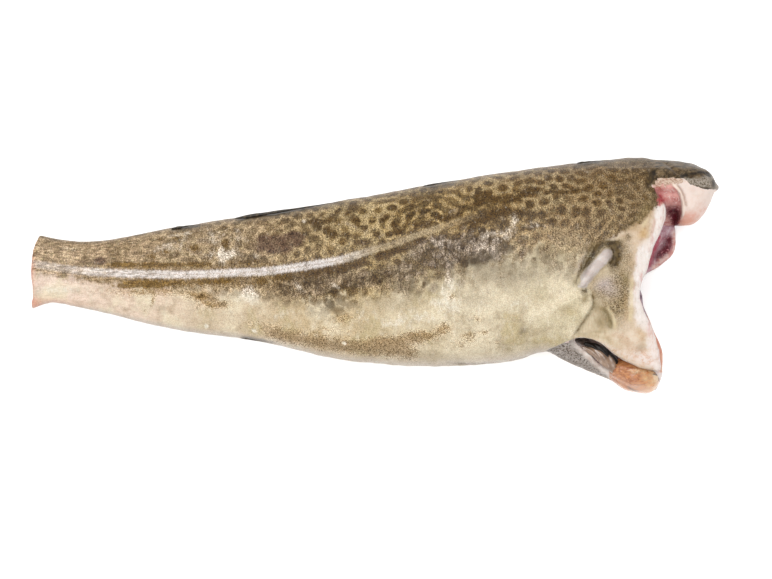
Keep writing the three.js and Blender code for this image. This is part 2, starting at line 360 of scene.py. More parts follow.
def blob(centre, radii, turn=0.0):
    """A soft round patch, as a function of station and height. turn is in radians."""
    cos, sin = math.cos(turn), math.sin(turn)

    def mask(s, h):
        x, y = s - centre[0], h - centre[1]
        u, v = (x * cos + y * sin) / radii[0], (y * cos - x * sin) / radii[1]
        return np.exp(-(u * u + v * v))

    return mask


def fold(points, left, right, fade=0.0):
    """A soft line with a width on each side, fading over a length at its ends."""
    line = smooth_line(points, LINE_STEPS)
    length = np.hypot(*(line[1:] - line[:-1]).T).sum()

    def mask(s, h):
        distance, side, along = line_distance(line, s, h)
        ends = step(np.minimum(along, length - along), -LINE_END, fade) if fade else 1
        return np.exp(-((distance / np.where(side > 0, left, right)) ** 2)) * ends

    return mask


def stroke(points, width, fade=0.0):
    return fold(points, width, width, fade)


def sum_of(marks, s, h):
    """Marks added up: each is (a mask, its strength), or a soft patch as its station, height,
    half length, half height, strength and turn."""
    total = 0
    for mark in marks:
        if len(mark) == 2:
            mask, strength = mark
        else:
            mask, strength = blob(mark[:2], mark[2:4], *mark[5:]), mark[4]
        total = total + strength * mask(s, h)
    return total


def signed(points, s, h):
    """The distance to a smooth line, positive on its left, as seen along it."""
    distance, side, _ = near_line(points, s, h)
    return distance * side


def girdle_depth(s, h):
    """How far each point lies inside the bare girdle round the collar."""
    inside = np.minimum(signed(SKIN_EDGE, s, h), signed(FLAP_GROOVE, s, h) + 0.25)
    return np.minimum(inside, np.minimum((s - 78.9) * 0.8, (13.2 - h)))


def span(s, rise, fall):
    """1 between two ends along the fish, each given as where it starts and stops to change."""
    return step(s, *rise) * (1 - step(s, *fall))


def fin_slots(s, h):
    """The cut bases of the three back fins, along the top of the upper flank."""
    run = span(s, (20.2, 20.8), (24.3, 25.0)) + span(s, (29.6, 30.4), (36, 47))
    run += 0.6 * span(s, (57, 58), (61, 63)) + 0.7 * span(s, (79, 80.5), (83, 84))
    return run * np.exp(-(((back(s) - h - 0.3) / 0.34) ** 2))


def vent_slot(s, h):
    """The cut base of the fin under the tail."""
    rise = h - belly(s)
    return 0.6 * span(s, (30.5, 31.5), (34, 37)) * np.exp(-(((rise - 0.25) / 0.22) ** 2))


# Forms of the upper flank, with the height in hundredths of the length as their strength.
SKIN_FORMS = [
    # armpit and fin pit
    (stroke(ARMPIT, 0.4), -0.45), (stroke(ARMPIT_RIM, 0.3, 0.8), -0.2),
    (stroke(ARMPIT_RIDGE, 0.3, 0.8), 0.22), (stroke(FIN_PIT, 0.7), -0.85),
    (86.0, 4.5, 1.4, 0.5, -0.3), (85.2, 5.7, 1.5, 0.45, 0.32, 0.2),
    (80.8, -2.35, 0.7, 0.5, -0.75, -0.3), (84.3, -1.9, 2.2, 2.8, -0.3, 0.3),
    # groove and pocket of the flap
    (fold(FLAP_GROOVE[1:], 0.8, 0.22, 1.0), -0.4), (83.2, -6.6, 1.35, 1.7, -0.55, 0.15),
    (fold(POCKET_RIM, 0.3, 0.9, 0.8), -0.32),
    (stroke([(p[0] + 0.7, p[1] - 0.1) for p in POCKET_RIM], 0.5, 0.8), 0.36),
    (stroke(POCKET_FOLD, 0.4, 0.8), -0.14), (89.3, -10.8, 0.8, 0.6, -0.35),
    (88.2, -2, 1.0, 7, 0.22),
    # nape, slit and the soft dents of the flank
    (stroke(NAPE_CREASE, 0.4, 0.8), -0.35), (stroke(CLOSED_SLIT, 0.22), -0.22),
    (33, 3.5, 6, 3, 0.10), (30, -5, 3, 2, -0.12),
]
NAPE_FORMS = [
    (stroke(LOIN_RIDGE, 0.3), 0.22), (stroke(CAP_FOLD, 0.25), -0.3),
    (97.6, 13.4, 1.6, 0.8, -0.22, -0.2), (stroke(NAPE_CREASE, 0.4, 0.8), -0.35),
]


def skin_relief(s, h):
    """How far the upper flank stands out of its smooth form, in hundredths of the length."""
    relief = sum_of(SKIN_FORMS, s, h) - 0.25 * step(girdle_depth(s, h), -0.1, 0.4)
    distance, _, along = near_line(FIN_BASE, s, h)
    stub = np.clip(1 - (distance / (1.2 - 0.1 * along)) ** 2, 0, 1) ** 0.8
    relief += stub * step(s, 79.0, 80.6)
    groove = signed(FLAP_GROOVE, s, h)
    bulge = np.exp(-((np.minimum(-groove, 4) / 2.6) ** 2)) * step(-groove, -0.12, 0.3)
    relief += 0.36 * bulge * step(-h, 2.0, 3.4) * (1 - step(s, 82.0, 83.0))
    relief -= 0.14 * stroke(LATERAL_LINE, 0.5)(s, h) * (1 - step(s, 50, 62))
    return relief - 0.25 * fin_slots(s, h) - 0.25 * vent_slot(s, h)


def nape_relief(s, h):
    """The same for the nape in front of the collar: its skin, its loin and the meat beside."""
    cap = step(signed(CAP_EDGE, s, h), -0.1, 0.14)
    beside = step(-signed(LOIN_RIDGE, s, h), -0.15, 0.25) * (1 - cap)
    relief = sum_of(NAPE_FORMS, s, h) + 0.34 * cap * step(-h, -16.4, -15.4)
    relief -= 1.15 * beside * step(-h, -12.9, -11.8)
    return relief - 1.1 * blob((94.0, 8.6), (0.75, 1.4))(s, h) * beside


# The near flap's lower edge and the lower flap's upper one, with the gap between them.
GAP = UPPER_FLAP_EDGE[:-1] + [(87.0, -12.7), (89.0, -13.6), (92.6, -14.1), (94, -14.1)]
GAP_BELOW = [(94, -19), (89.0, -19), (87.4, -16.4)] + LOWER_FLAP_EDGE[1:]
UNDER_GAP = [(94, -22), (74.4, -22)]


# How softly the forms meet, and the rings and sides that they are drawn with.
SOFT_EDGE = 2.5 * MM
FIRM_EDGE = 1.5 * MM
SHARP_EDGE = 0.8 * MM
SIDES = 96
SEEN_NAPE_RISE = 5.5  # of the nape's upper side over the middle level


def fish_field():
    """The whole fish as a distance field, and the fields of its parts by name."""
    belly_power, back_power = profile(BELLY_POWER), profile(BACK_POWER)
    trunk_points, quads, caps = loft(
        np.linspace(-1, 97, 204), 128, belly, back, half_thickness, middle, belly_power, back_power,
    )
    trunk_points[:, 2] = np.maximum(trunk_points[:, 2], 0)
    trunk = field(trunk_points, quads, caps)
    lowered = field(trunk_points - np.array([0, 0, FLAP_STEP]), quads, caps)
    turn = np.linspace(0, np.pi / 2, 60)
    split = float(middle(92))
    nape = field(*loft(
        84 + 16 * np.sin(turn), SIDES, profile(NAPE_UNDERSIDE),
        lambda s: back(s) - 0.22 - 0.35 * step(s, 96.5, 99),
        profile(NAPE_HALF_THICKNESS), constant(split), constant(0.42), constant(0.46),
    ))
    gill = field(*loft(
        np.linspace(88.6, 99, 44), SIDES, profile(GILL_FLOOR), profile(GILL_ROOF),
        profile(GILL_HALF_WIDTH), middle, constant(0.45), constant(0.4),
    ))
    cavity = field(*loft(
        np.linspace(52, 97, 100), SIDES, profile(CAVITY_FLOOR), profile(CAVITY_ROOF),
        profile(CAVITY_HALF_WIDTH), lambda s: middle(s) + CAVITY_LIFT,
        constant(0.5), constant(0.45),
    ))
    flat_s, flat_h = S[:, :, 0], H[:, :, 0]
    share = np.clip((flat_h - belly(flat_s)) / (back(flat_s) - belly(flat_s)), 0.001, 0.999)
    rise = half_thickness(flat_s) * fullness(share, belly_power(flat_s), back_power(flat_s))
    seen_s, seen_h = seen(flat_s, flat_h, middle(flat_s) + rise)
    upward = step(Z - middle(flat_s)[:, :, None], -0.6, 1.2)
    relief = skin_relief(seen_s, seen_h)[:, :, None] * UNIT
    trunk = (trunk - relief * upward).astype(np.float32)
    seen_s, seen_h = seen(flat_s, flat_h, split + SEEN_NAPE_RISE)
    relief = nape_relief(seen_s, seen_h)[:, :, None] * UNIT
    nape = (nape - relief * step(Z, split - 0.5, split + 2)).astype(np.float32)

    body = smooth_max(trunk, -cut_distance(TAIL_CUT, H) * UNIT, 1.2 * MM)
    share = step(Z, split - 0.8, split + 0.8)
    collar = share * cut_distance(NEAR_COLLAR, H) + (1 - share) * cut_distance(FAR_COLLAR, H)
    body = smooth_max(body, collar * UNIT, SOFT_EDGE)
    edge = np.concatenate([smooth_line(FLAP_OVERLAP, 6), smooth_line(GAP, 6)[1:]])
    corner = outline_distance(np.concatenate([edge, UNDER_GAP]), flat_s, flat_h)
    corner = (corner * UNIT)[:, :, None]
    body = smooth_max(body, -smooth_max(corner, -lowered, 0.6 * MM), SHARP_EDGE)
    body = smooth_max(body, -gill, SOFT_EDGE)
    body = smooth_min(body, nape, FIRM_EDGE)
    body = smooth_max(body, -cavity, SOFT_EDGE)
    from_bone = np.hypot(H - BACKBONE_HEIGHT, Z - float(middle(90)))
    bone = np.maximum(from_bone - BACKBONE_RADIUS * (1 + 0.1 * step(S, 89, 90.4)), 85 - S) * UNIT
    hollow = 0.35 * np.exp(-((from_bone / 0.7) ** 2))
    bone = smooth_max(bone, (S - BACKBONE_END + hollow) * UNIT, FIRM_EDGE)
    body = smooth_min(body, bone.astype(np.float32), 2.0 * MM)
    slit_line = np.concatenate([smooth_line(GAP, 6), smooth_line(GAP_BELOW, 6)])
    slit = (outline_distance(slit_line, flat_s, flat_h) * UNIT)[:, :, None]
    slit = np.maximum(slit, (SLIT_FLOOR - Z) * UNIT)
    body = smooth_max(body, -slit, 1.6 * MM)
    return body, {
        "trunk": np.where(corner < 0, lowered, trunk), "nape": nape,
        "gill": gill, "cavity": cavity, "corner": np.broadcast_to(corner, body.shape),
        "tail": cut_distance(TAIL_CUT, H) * UNIT * np.ones_like(body), "bone": bone,
    }


def mesh_of(values, name):
    """A piece along a field's surface, with its faces outwards."""
    grid = vdb.FloatGrid(float(BAND * VOXEL))
    grid.transform = TRANSFORM
    grid.copyFromArray(
        np.clip(values, -BAND * VOXEL, BAND * VOXEL).astype(np.float32),
        ijk=tuple(int(v) for v in grid_low), tolerance=0.0,
    )
    points, triangles, quads = grid.convertToPolygons(isovalue=0.0, adaptivity=0.0)
    return mesh_from(points.tolist(), quads.tolist() + triangles.tolist(), name)


def mesh_from(points, faces, name):
    """A smooth piece from points in metres."""
    mesh = bpy.data.meshes.new(name)
    mesh.from_pydata(points, [], faces)
    mesh.update()
    mesh.polygons.foreach_set("use_smooth", [True] * len(mesh.polygons))
    piece = bpy.data.objects.new(name, mesh)
    bpy.context.scene.collection.objects.link(piece)
    return piece


def turn_outwards(piece, merge=0.0):
    """Turns a closed piece's faces outwards, once points nearer than merge are one."""
    shape = bmesh.new()
    shape.from_mesh(piece.data)
    if merge:
        bmesh.ops.remove_doubles(shape, verts=shape.verts, dist=merge)
    bmesh.ops.recalc_face_normals(shape, faces=shape.faces)
    shape.to_mesh(piece.data)
    shape.free()


def sample(values, points):
    """A field's values at points, between its grid's own."""
    place_in_grid = points / VOXEL - grid_low
    i = np.clip(np.floor(place_in_grid).astype(int), 0, grid_size - 2)
    t = place_in_grid - i
    total = np.zeros(len(points))
    for corner in np.ndindex(2, 2, 2):
        weight = np.where(corner, t, 1 - t).prod(axis=1)
        total += weight * values[tuple((i + corner).T)]
    return total


def vertex_points(piece):
    flat = np.empty(len(piece.data.vertices) * 3)
    piece.data.vertices.foreach_get("co", flat)
    return flat.reshape(-1, 3)


def in_fish(points):
    """The stations, heights and levels of points in metres."""
    return ((points - np.array(BODY_ORIGIN)) / UNIT).T


def store(piece, name, values):
    attribute = piece.data.attributes.new(name, "FLOAT", "POINT")
    attribute.data.foreach_set("value", np.asarray(values, np.float32))


# ---- Patterns that repeat over the skin ----
TILE = (512, 256)  # grid steps along and round the fish, of a millimetre each


def waves(width, height, length):
    """The frequencies of a repeating field along and across, for a length in grid steps."""
    return np.fft.fftfreq(width)[None, :] * length, np.fft.fftfreq(height)[:, None] * length


def spot_pattern(width, height, spacing, stretch):
    """A field of spots and short worms that feeds on itself, spacing grid steps apart."""
    seed, noise_level, rounds, pace, vigour = 11, 0.3, 18, 0.6, 0.2
    value = np.random.default_rng(seed).normal(0, noise_level, (height, width))
    across, down = waves(width, height, spacing)
    growth = vigour - (1 - (across * stretch) ** 2 - down**2) ** 2
    for _ in range(rounds):
        change = np.fft.fft2(value * value - value**3)
        value = np.fft.ifft2((np.fft.fft2(value) + pace * change) / (1 - pace * growth)).real
    return (value - value.mean()) / value.std()


def smooth_noise(width, height, size, seed):
    """A repeating field of soft noise with features about size grid steps across."""
    value = np.fft.fft2(np.random.default_rng(seed).normal(0, 1, (height, width)))
    across, down = waves(width, height, size)
    value = np.fft.ifft2(value * np.exp(-(across**2 + down**2) * 3)).real
    return value / value.std()


def look_up(pattern, x, y):
    """A repeating pattern's values at grid places between its own."""
    height, width = pattern.shape
    i, j = np.floor(x).astype(int), np.floor(y).astype(int)
    u, v = x - i, y - j
    i, j, i2, j2 = i % width, j % height, (i + 1) % width, (j + 1) % height
    low = pattern[j, i] * (1 - u) + pattern[j, i2] * u
    high = pattern[j2, i] * (1 - u) + pattern[j2, i2] * u
    return low * (1 - v) + high * v


# ---- Colour masks, as functions of station and height ----
DARK_EDGE = [
    (-2, 0.6), (6, -0.4), (10, -1.2), (20, -1.9), (30, -2.6), (38, -3.6), (46, -3.5), (53, -2.2),
    (60, 0.2), (66, 2.2), (72, 3.2), (78, 3.2), (84, 3), (92, 4),
]
DARK_SOFTNESS = [(-2, 0.9), (20, 0.7), (40, 1.4), (55, 2.2), (66, 3.2), (92, 3.2)]
# Marks of the upper flank.
MARKS = {
    # purple-brown bruises under the skin
    "bruise": [
        (36.2, 4.3, 3.2, 1.4, 1, 0.12), (38.6, 5.5, 1.4, 0.8, 1, 0.1), (34, 5.2, 2, 1, 0.5),
        (10.3, 2.1, 0.9, 0.65, 1), (7.5, 1.9, 2.2, 0.45, 0.5), (32, 3.2, 1.5, 0.9, 0.15),
        (88.5, 9, 1.5, 2.5, 0.4, -0.6),
    ],
    # olive-brown bands and spots
    "brown": [
        (13.5, 1.45, 3, 0.5, 0.8), (31.5, 1.9, 2.8, 0.5, 0.6, 0.05), (33.7, -1, 1.2, 0.7, 0.7),
        (59.5, 5.3, 1.5, 0.6, 0.8, 0.4), (66.3, 8.4, 2.6, 1, 1, 0.35), (69.5, 9.1, 1.6, 0.6, 0.8),
        (72.5, 9.1, 1.4, 0.6, 0.8), (76, 7.9, 1.6, 0.5, 0.7), (79.2, 8.7, 0.8, 0.6, 0.6),
        (66, 11.8, 1.4, 0.6, 0.9), (57.5, 7.4, 1.9, 0.55, 0.8, 0.35), (60.5, 8.3, 1.1, 0.6, 0.8),
        (62.5, 8.9, 1, 0.4, 0.7, 0.3), (63.8, 7.9, 1.2, 0.5, 0.7, 0.2), (42, 7.8, 2, 0.4, 0.9),
        (44.3, 8.6, 0.8, 0.7, 0.7), (43.8, 6.3, 0.9, 0.8, 0.7), (47.3, 9.8, 1.6, 0.9, 0.75),
        (47.2, 8.1, 0.9, 0.5, 0.8), (48.5, 6.9, 1.1, 0.5, 0.7), (46, 5.8, 1.1, 0.5, 0.65),
        (48.2, 4.8, 2, 0.5, 0.8, 0.15), (50.5, 6, 0.6, 1, 0.5), (51.5, 7.9, 0.7, 0.5, 0.8),
        (53.2, 7.1, 0.6, 0.7, 0.9), (54, 6.2, 0.8, 0.5, 0.7), (52.3, 5.8, 0.8, 0.5, 0.7),
        (20, 3.6, 0.5, 0.5, 0.7), (24.1, 4, 0.9, 0.6, 0.85), (26.8, 4, 0.6, 0.6, 0.55),
        (28.4, 4.6, 0.65, 0.8, 0.85), (24.1, 6.2, 0.9, 0.4, 0.5), (21.4, 5.3, 0.9, 0.4, 0.5),
        (19, 5.2, 0.9, 0.35, 0.45), (28.2, 6.9, 1.3, 0.4, 0.5, 0.1), (18, 2.8, 1.3, 0.8, 0.45),
        (25, -3.1, 1.1, 0.4, 0.6), (28, -4.2, 1.4, 0.5, 0.5), (71.8, 3.2, 0.6, 0.6, 0.5),
        (73.5, 2.5, 0.7, 0.6, 0.4), (75, 4, 0.8, 0.7, 0.5), (72.2, 0.9, 0.7, 0.5, 0.4),
        (79.7, 2.5, 0.5, 0.7, 0.4), (48.3, -1.4, 0.6, 0.5, 0.7), (51, -1, 0.5, 0.6, 0.7),
        (57.6, -1.3, 0.6, 0.6, 0.6), (63.3, 1.6, 0.7, 0.6, 0.9), (77, 10.4, 1, 0.8, 0.5),
        (stroke([(16, 1.4), (20, 1.5), (27, 1.55)], 0.42, 0.8), 0.75),
        (
            stroke([(10.2, -1.9), (12.5, -1.75), (15, -1.35), (20, -1.25), (24, -1.15)], 0.6, 4.5),
            0.95,
        ),
        (stroke([(24, -0.95), (29.5, -0.8)], 0.5, 0.5), 0.75),
        (stroke([(35, -0.6), (38, -0.1), (42, 0.5), (46, 1.2), (50, 2.2)], 0.75, 1.5), 1),
        (stroke([(50, 2.2), (54, 3.9), (58, 5.4)], 0.75, 1), 0.95),
        (stroke([(64, 9.9), (66.5, 11), (70, 11), (72.5, 12), (75, 12.3)], 0.5, 1.5), 0.95),
        (stroke([(75, 12.3), (78.5, 12.1), (82, 12.6)], 0.4, 1), 0.7),
    ],
    # broad soft shading of the back and flank
    "shade": [
        (72, 12, 7, 2, 0.5, 0.1), (46.5, 6.5, 3, 3, 0.6), (71, 8.4, 5, 1.2, 0.9, 0.05),
        (66, 2, 4, 1.8, 0.9), (57, 3.8, 5, 1.2, 0.6, 0.4), (92, 15, 4, 1.5, 0.8),
        (46, 3.6, 4, 0.7, 0.7, 0.3), (11, 1.9, 4, 0.7, 0.6), (2.5, 4.8, 4, 0.9, 1, -0.1),
        (80, 10, 6, 3, 0.35), (69.5, 0, 5, 1.8, 1, 0.05), (44, -10.2, 8, 0.9, 0.4, -0.14),
        (53, -4, 3.5, 1.1, 0.6), (52, -11.2, 7, 0.8, 0.35, -0.08), (68, -10.8, 6, 0.9, 0.35, 0.15),
        (76, 0.8, 3, 1.4, 0.3), (65, -3.8, 3, 1.1, 0.5), (55, -9.3, 4, 0.8, 0.3),
        (58, -11.8, 6, 0.8, 0.4), (88.2, 10.5, 1.6, 2.2, 0.4, -0.5), (82, 4, 1.5, 1.8, 0.3, -0.6),
    ],
    # grey-brown mottles below the line
    "mottle": [
        (41, -0.9, 5, 1.3, 0.95, 0.05), (39, -2.6, 3.5, 1.5, 0.6),
        (46.5, -0.8, 3.2, 1.4, 0.85, 0.1), (51, -0.3, 3.5, 1.6, 0.75, 0.1), (55, 0.5, 3, 2, 0.65),
        (58, 2.8, 3, 2, 0.9, 0.2), (61, 3.8, 2.2, 1.3, 1, -0.4), (66.5, 2.9, 2.4, 0.8, 1, 0.3),
        (68.7, 4.3, 1.6, 1.1, 0.7), (60.3, 1.5, 1.6, 1.5, 0.6), (54.5, -2, 2, 1, 0.5),
        (64.5, 3.4, 3.5, 2.4, 0.7, 0.1), (59, -1.5, 1.2, 1.2, 0.4), (71.8, -8.2, 0.8, 0.7, 0.5),
        (77.6, -7.5, 0.8, 0.6, 0.35), (74, 3, 5, 2, 0.35), (65, 5.5, 4, 1.5, 0.5, 0.2),
        (26.5, -3.2, 2.5, 0.8, 0.35),
    ],
    # yellow and brown stains on the belly
    "tan": [
        (52, -9.6, 2.5, 0.8, 0.7), (55.8, -9, 2.2, 1, 0.9, 0.1), (60.3, -7.8, 1.3, 0.9, 0.85, 0.3),
        (58.3, -8.9, 1.4, 1, 0.5), (62.5, -10, 2.2, 1.2, 0.35), (68, -10, 2, 1.5, 0.25),
        (64, -8.8, 1.2, 0.8, 0.55), (65.2, -6.3, 0.8, 0.5, 0.6), (46, -6.2, 3.5, 1, 0.4),
        (27, -4.3, 2.6, 0.8, 0.75), (25, -3.1, 2, 0.7, 0.9), (18, -2.3, 8, 0.9, 0.75),
        (61.4, -3.2, 0.7, 0.5, 0.6), (66.3, -8.4, 0.8, 0.4, 0.6), (44, -7.9, 4, 0.5, 0.4, -0.1),
        (33, -7.3, 3, 1, 0.4, -0.1), (2.5, 2.8, 2.5, 0.6, 0.5), (1.6, 0.6, 1.5, 0.4, 0.5),
        (17.9, -3.9, 0.25, 0.7, 0.8, -0.3), (17, -5.2, 0.3, 0.3, 0.7),
        (stroke([(33, -8.2), (40, -9.4), (46, -10.3), (52, -10.8), (58, -11.6)], 1.15, 3), 0.95),
    ],
    # pale rubbed patches, and painted sheen of slime
    "pale": [
        (32, -3, 1.8, 1.5, 0.95), (28, 2.6, 0.5, 1.6, 0.9), (29.2, 3.2, 0.35, 1.3, 0.6, -0.7),
        (25.7, -7.4, 0.35, 0.5, 1), (32.7, -8.1, 0.4, 0.4, 1), (45.8, -9.9, 0.35, 0.3, 1),
        (39.9, 7.8, 0.35, 0.3, 1), (27, 5.2, 6, 1.4, 0.4, 0.15), (29, 2.9, 5, 0.6, 0.45, 0.03),
        (19, 3.9, 3, 0.8, 0.35, 0.1), (70.4, 7.6, 1, 2.2, 0.55, -0.25), (68.8, 5.8, 1.5, 1.3, 0.5),
        (66.6, 6.2, 1.2, 0.8, 0.4), (65.8, 3.9, 1, 0.25, 0.8, 0.6), (61.3, -1.2, 2, 1.4, 0.5, 0.9),
        (60.2, -3.6, 2.4, 1.4, 0.6, 0.4), (56, -6, 4.2, 1.4, 0.5, 0.1), (53, -7.2, 1.6, 0.8, 0.4),
        (37, -5.8, 1.6, 0.8, 0.5), (47, 7.1, 1.8, 0.35, 0.4, -0.4), (55.5, 2.8, 1, 0.4, 0.5, 0.5),
        (44.8, -1.8, 0.9, 0.4, 0.6, -0.7), (22, 5.9, 4, 0.25, 0.5, 0.18),
        (39.3, -1.8, 0.5, 1, 0.6, 0.5), (71, -4, 2.4, 1.4, 0.4), (64, -4.5, 4, 1.2, 0.3, 0.1),
        (48.5, -5.6, 3, 0.9, 0.3), (6, 3.8, 2.6, 0.6, 0.4), (58.5, 7.9, 1.8, 0.3, 0.4, 0.5),
        (91.9, 15.3, 1.3, 0.14, 0.75, 0.85), (92.9, 15.2, 1.2, 0.14, 0.7, 0.85),
        (33, 0.2, 4, 0.7, 0.3), (24, 0.4, 3, 0.7, 0.3), (43, 4.6, 1.6, 0.5, 0.4),
        (73.5, 7.4, 1.2, 0.5, 0.4), (4.5, -2, 4.5, 0.8, 0.6),
    ],
    # soft grey skin without spots behind the armpit
    "dull": [(78, 4.4, 4, 2.6, 1, 0.3)],
    # the red of the tail cut
    "blush": [
        (0.2, 0.5, 0.5, 3.6, 0.8), (0.7, -4.2, 1.6, 0.7, 1, -0.3),
        (3.5, -3.8, 3.5, 0.5, 0.45, -0.12),
    ],
    # painted shade in the hollows and creases
    "pit": [
        (stroke([(82.9, 4.3), (83.9, 4.6), (85, 4.6), (86.6, 4.5)], 0.5, 1), 0.9),
        (stroke(FIN_PIT, 0.7, 1), 1), (85.05, 2.2, 0.8, 1.5, 1.1), (86, 3.6, 1, 1.3, 0.5),
        (fold(ARMPIT, 0.85, 0.35, 1.2), 1), (84.9, 4.4, 0.6, 0.6, 0.4),
        (stroke(ARMPIT_RIM, 0.22, 1.5), 0.75), (80.8, -2.2, 0.7, 0.4, 1, -0.3),
        (fold(FLAP_GROOVE[1:], 0.3, 0.12, 1), 0.4), (stroke(NAPE_CREASE, 0.4, 0.9), 1.2),
        (stroke(CLOSED_SLIT, 0.2, 2), 0.5),
        (stroke([(85.5, 6.3), (87, 7.2), (88.4, 8.3), (89.6, 9.8)], 0.22, 0.8), 0.6),
        (87.2, 5.6, 0.4, 0.7, 0.6), (stroke([(83.6, -0.5), (83.6, -2.1)], 0.1, 0.4), 0.5),
        (stroke([(94.5, 14.3), (96.5, 14.75), (98.3, 15), (99.4, 14.2)], 0.25, 0.5), 1),
        (stroke([(94.8, 13.9), (96.2, 13.1), (97.5, 12.75), (99.4, 12.5)], 0.16, 0.4), 0.8),
        (99.6, 13.3, 0.35, 0.8, 0.9), (85, 5.9, 0.5, 0.15, 0.4, 0.3),
    ],
    # the bare girdle round the collar: specks, tints, stains, cut ends and raw meat, with painted
    # shade in its folds and painted highlights on their rims
    "speckle": [
        (83.9, -1.9, 2.2, 1.6, 1.1, 0.2), (86.2, -2.6, 1.5, 3.6, 1.3), (86.9, 3.2, 0.9, 2.2, 0.6),
        (88.6, 9.6, 1.2, 2, 0.5, -0.7), (84.4, -5, 1.2, 1, 0.7, -0.6),
    ],
    "lilac": [(83.4, -1, 1.6, 0.9, 0.9, 0.5), (84.5, -2.2, 1.4, 1.2, 0.6)],
    # olive: painted shade in the groove, the folds and the pocket of the flap, with a few olive
    # patches of the girdle's own
    "olive": [
        (89.4, 9.2, 0.8, 1.9, 0.7, -0.6), (80.9, -3.4, 0.6, 0.9, 1, -0.3),
        (84.6, -7, 0.3, 0.9, 0.8), (86.9, -0.6, 0.6, 0.9, 0.8),
        (fold(POCKET_RIM, 0.15, 0.5, 0.9), 0.7), (fold(FLAP_GROOVE[1:], 0.5, 0.12, 1), 0.6),
        (83, -4.8, 1.2, 0.5, 0.5, -0.3), (stroke(POCKET_FOLD, 0.2, 0.8), 0.35),
        (stroke(ARMPIT_RIM, 0.5, 1), 0.6), (83, -6.6, 1.3, 1.3, 0.4),
        (82.2, -8.9, 2.2, 0.25, 0.25, -0.15), (88.9, -10.7, 0.8, 0.6, 0.5, 0.3),
        (83.4, -7.2, 1, 0.9, 0.35),
    ],
    "amber": [
        (89.4, 6, 0.8, 1.2, 1, -0.3), (88.2, 7.4, 1.3, 0.6, 0.5, 0.4),
        (stroke([(90.7, 10), (89.9, 8.8), (88.8, 7.7)], 0.3, 0.6), 0.6), (89.3, -8.6, 1, 1, 0.35),
        (86.9, -4.5, 0.3, 2, 0.4),
    ],
    # yellow: a pale line along the collar, and painted highlights on the rims of the lobe, the pocket
    # and the amber strip
    "yellow": [
        (stroke([(87.7, 0.2), (87.6, -2.5), (87.6, -5), (87.3, -7.2)], 0.28, 0.8), 0.7),
        (89.6, 7.6, 0.25, 0.9, 0.8, -0.5), (81.3, -2.5, 0.25, 0.3, 0.9),
        (stroke([(81.2, -2.7), (81.8, -3.5), (81.7, -4.7), (81, -5.9)], 0.2, 0.6), 0.9),
        (stroke([(p[0] + 0.55, p[1]) for p in POCKET_RIM], 0.28, 0.8), 0.7),
    ],
    "flap_end": [
        (89.6, -12.2, 2.6, 1.2, 1, -0.3), (84.6, -10.6, 2.6, 0.45, 0.55, -0.45),
        (90.9, -9.8, 0.6, 1.6, 0.6, 0.3), (80.2, 1.7, 0.3, 1.8, 0.35, -0.45),
    ],
    "raw": [(91.8, 11.9, 0.9, 1.5, 1.4, -0.1), (91.5, 10.3, 0.5, 0.6, 0.5)],
    "cream": [
        (stroke([(83.9, 5.3), (85.2, 5.6), (86.8, 6.3)], 0.35, 0.5), 1), (87.7, 3.4, 0.9, 2.2, 0.6),
        (88.2, -9.2, 2.6, 1.8, 0.8), (85.6, -8.7, 1.2, 0.8, 0.7), (79.8, -6, 0.8, 1.2, 0.4),
    ],
}
# Marks of the cut flesh in front of the collar.
FLESH_MARKS = {
    "red": [
        (91.8, 11.9, 0.5, 0.8, 0.6), (91.9, 10.9, 0.65, 0.45, 1.2), (91.4, 12.6, 0.5, 0.3, 0.5),
    ],
    # dark wine red of the blood in the hollows, with painted shade in them and along a fold
    "deep": [
        (94.1, 8.5, 0.8, 1.6, 1.3), (93, 9.4, 0.7, 1, 0.8, 0.4),
        (stroke([(93.1, 5), (92.7, 3.9), (91.7, 2.7)], 0.7), 1.5),
        (stroke([(93.2, 7.5), (94.6, 7.3)], 0.3, 0.3), 0.6),
    ],
    # the pale pink edge of the hollow, and a painted highlight on it
    "rim": [
        (stroke([(93.9, 6.2), (94, 4.3), (93.5, 3.2), (92.3, 2.2), (90.9, 1.1)], 0.34), 1.2),
        (91.7, 2.3, 0.2, 0.15, 1),
    ],
    "pink_line": [(stroke([(91.9, 6), (91.2, 4.2), (90.5, 2.4), (90, 1)], 0.3, 0.6), 1)],
    "red_foot": [(96.2, 8.4, 1.8, 0.8, 0.7, 0.3), (98.2, 9.6, 0.8, 1, 0.4, 0.5)],
    "shaved": [(93.9, 13.8, 1.7, 0.55, 1.4)],
    # painted shade along the right side of the loin's crest
    "ridge_line": [(stroke([(p[0] + 0.5, p[1] + 0.1) for p in LOIN_RIDGE[:4]], 0.18, 0.4), 0.8)],
}


def total_of(marks, s, h):
    return np.clip(sum_of(marks, s, h), 0, 1)


# How far the collar's white edge reaches inwards: (station, height), radii, further by.
WHITE_EDGE = [
    ((88.8, 2.4), (1.5, 2.8), 1.5), ((91.2, 8.0), (1.5, 2.5), 0.5),
    ((88.9, -6.4), (1.5, 1.6), 0.3), ((91.6, 11.6), (1.6, 1.5), -3.0),
]
THICK_SHARE = 0.62  # how thick the fish is for its depth, on the way round its skin
WARP = 1.5  # how far the spots are pushed out of their pattern, in millimetres


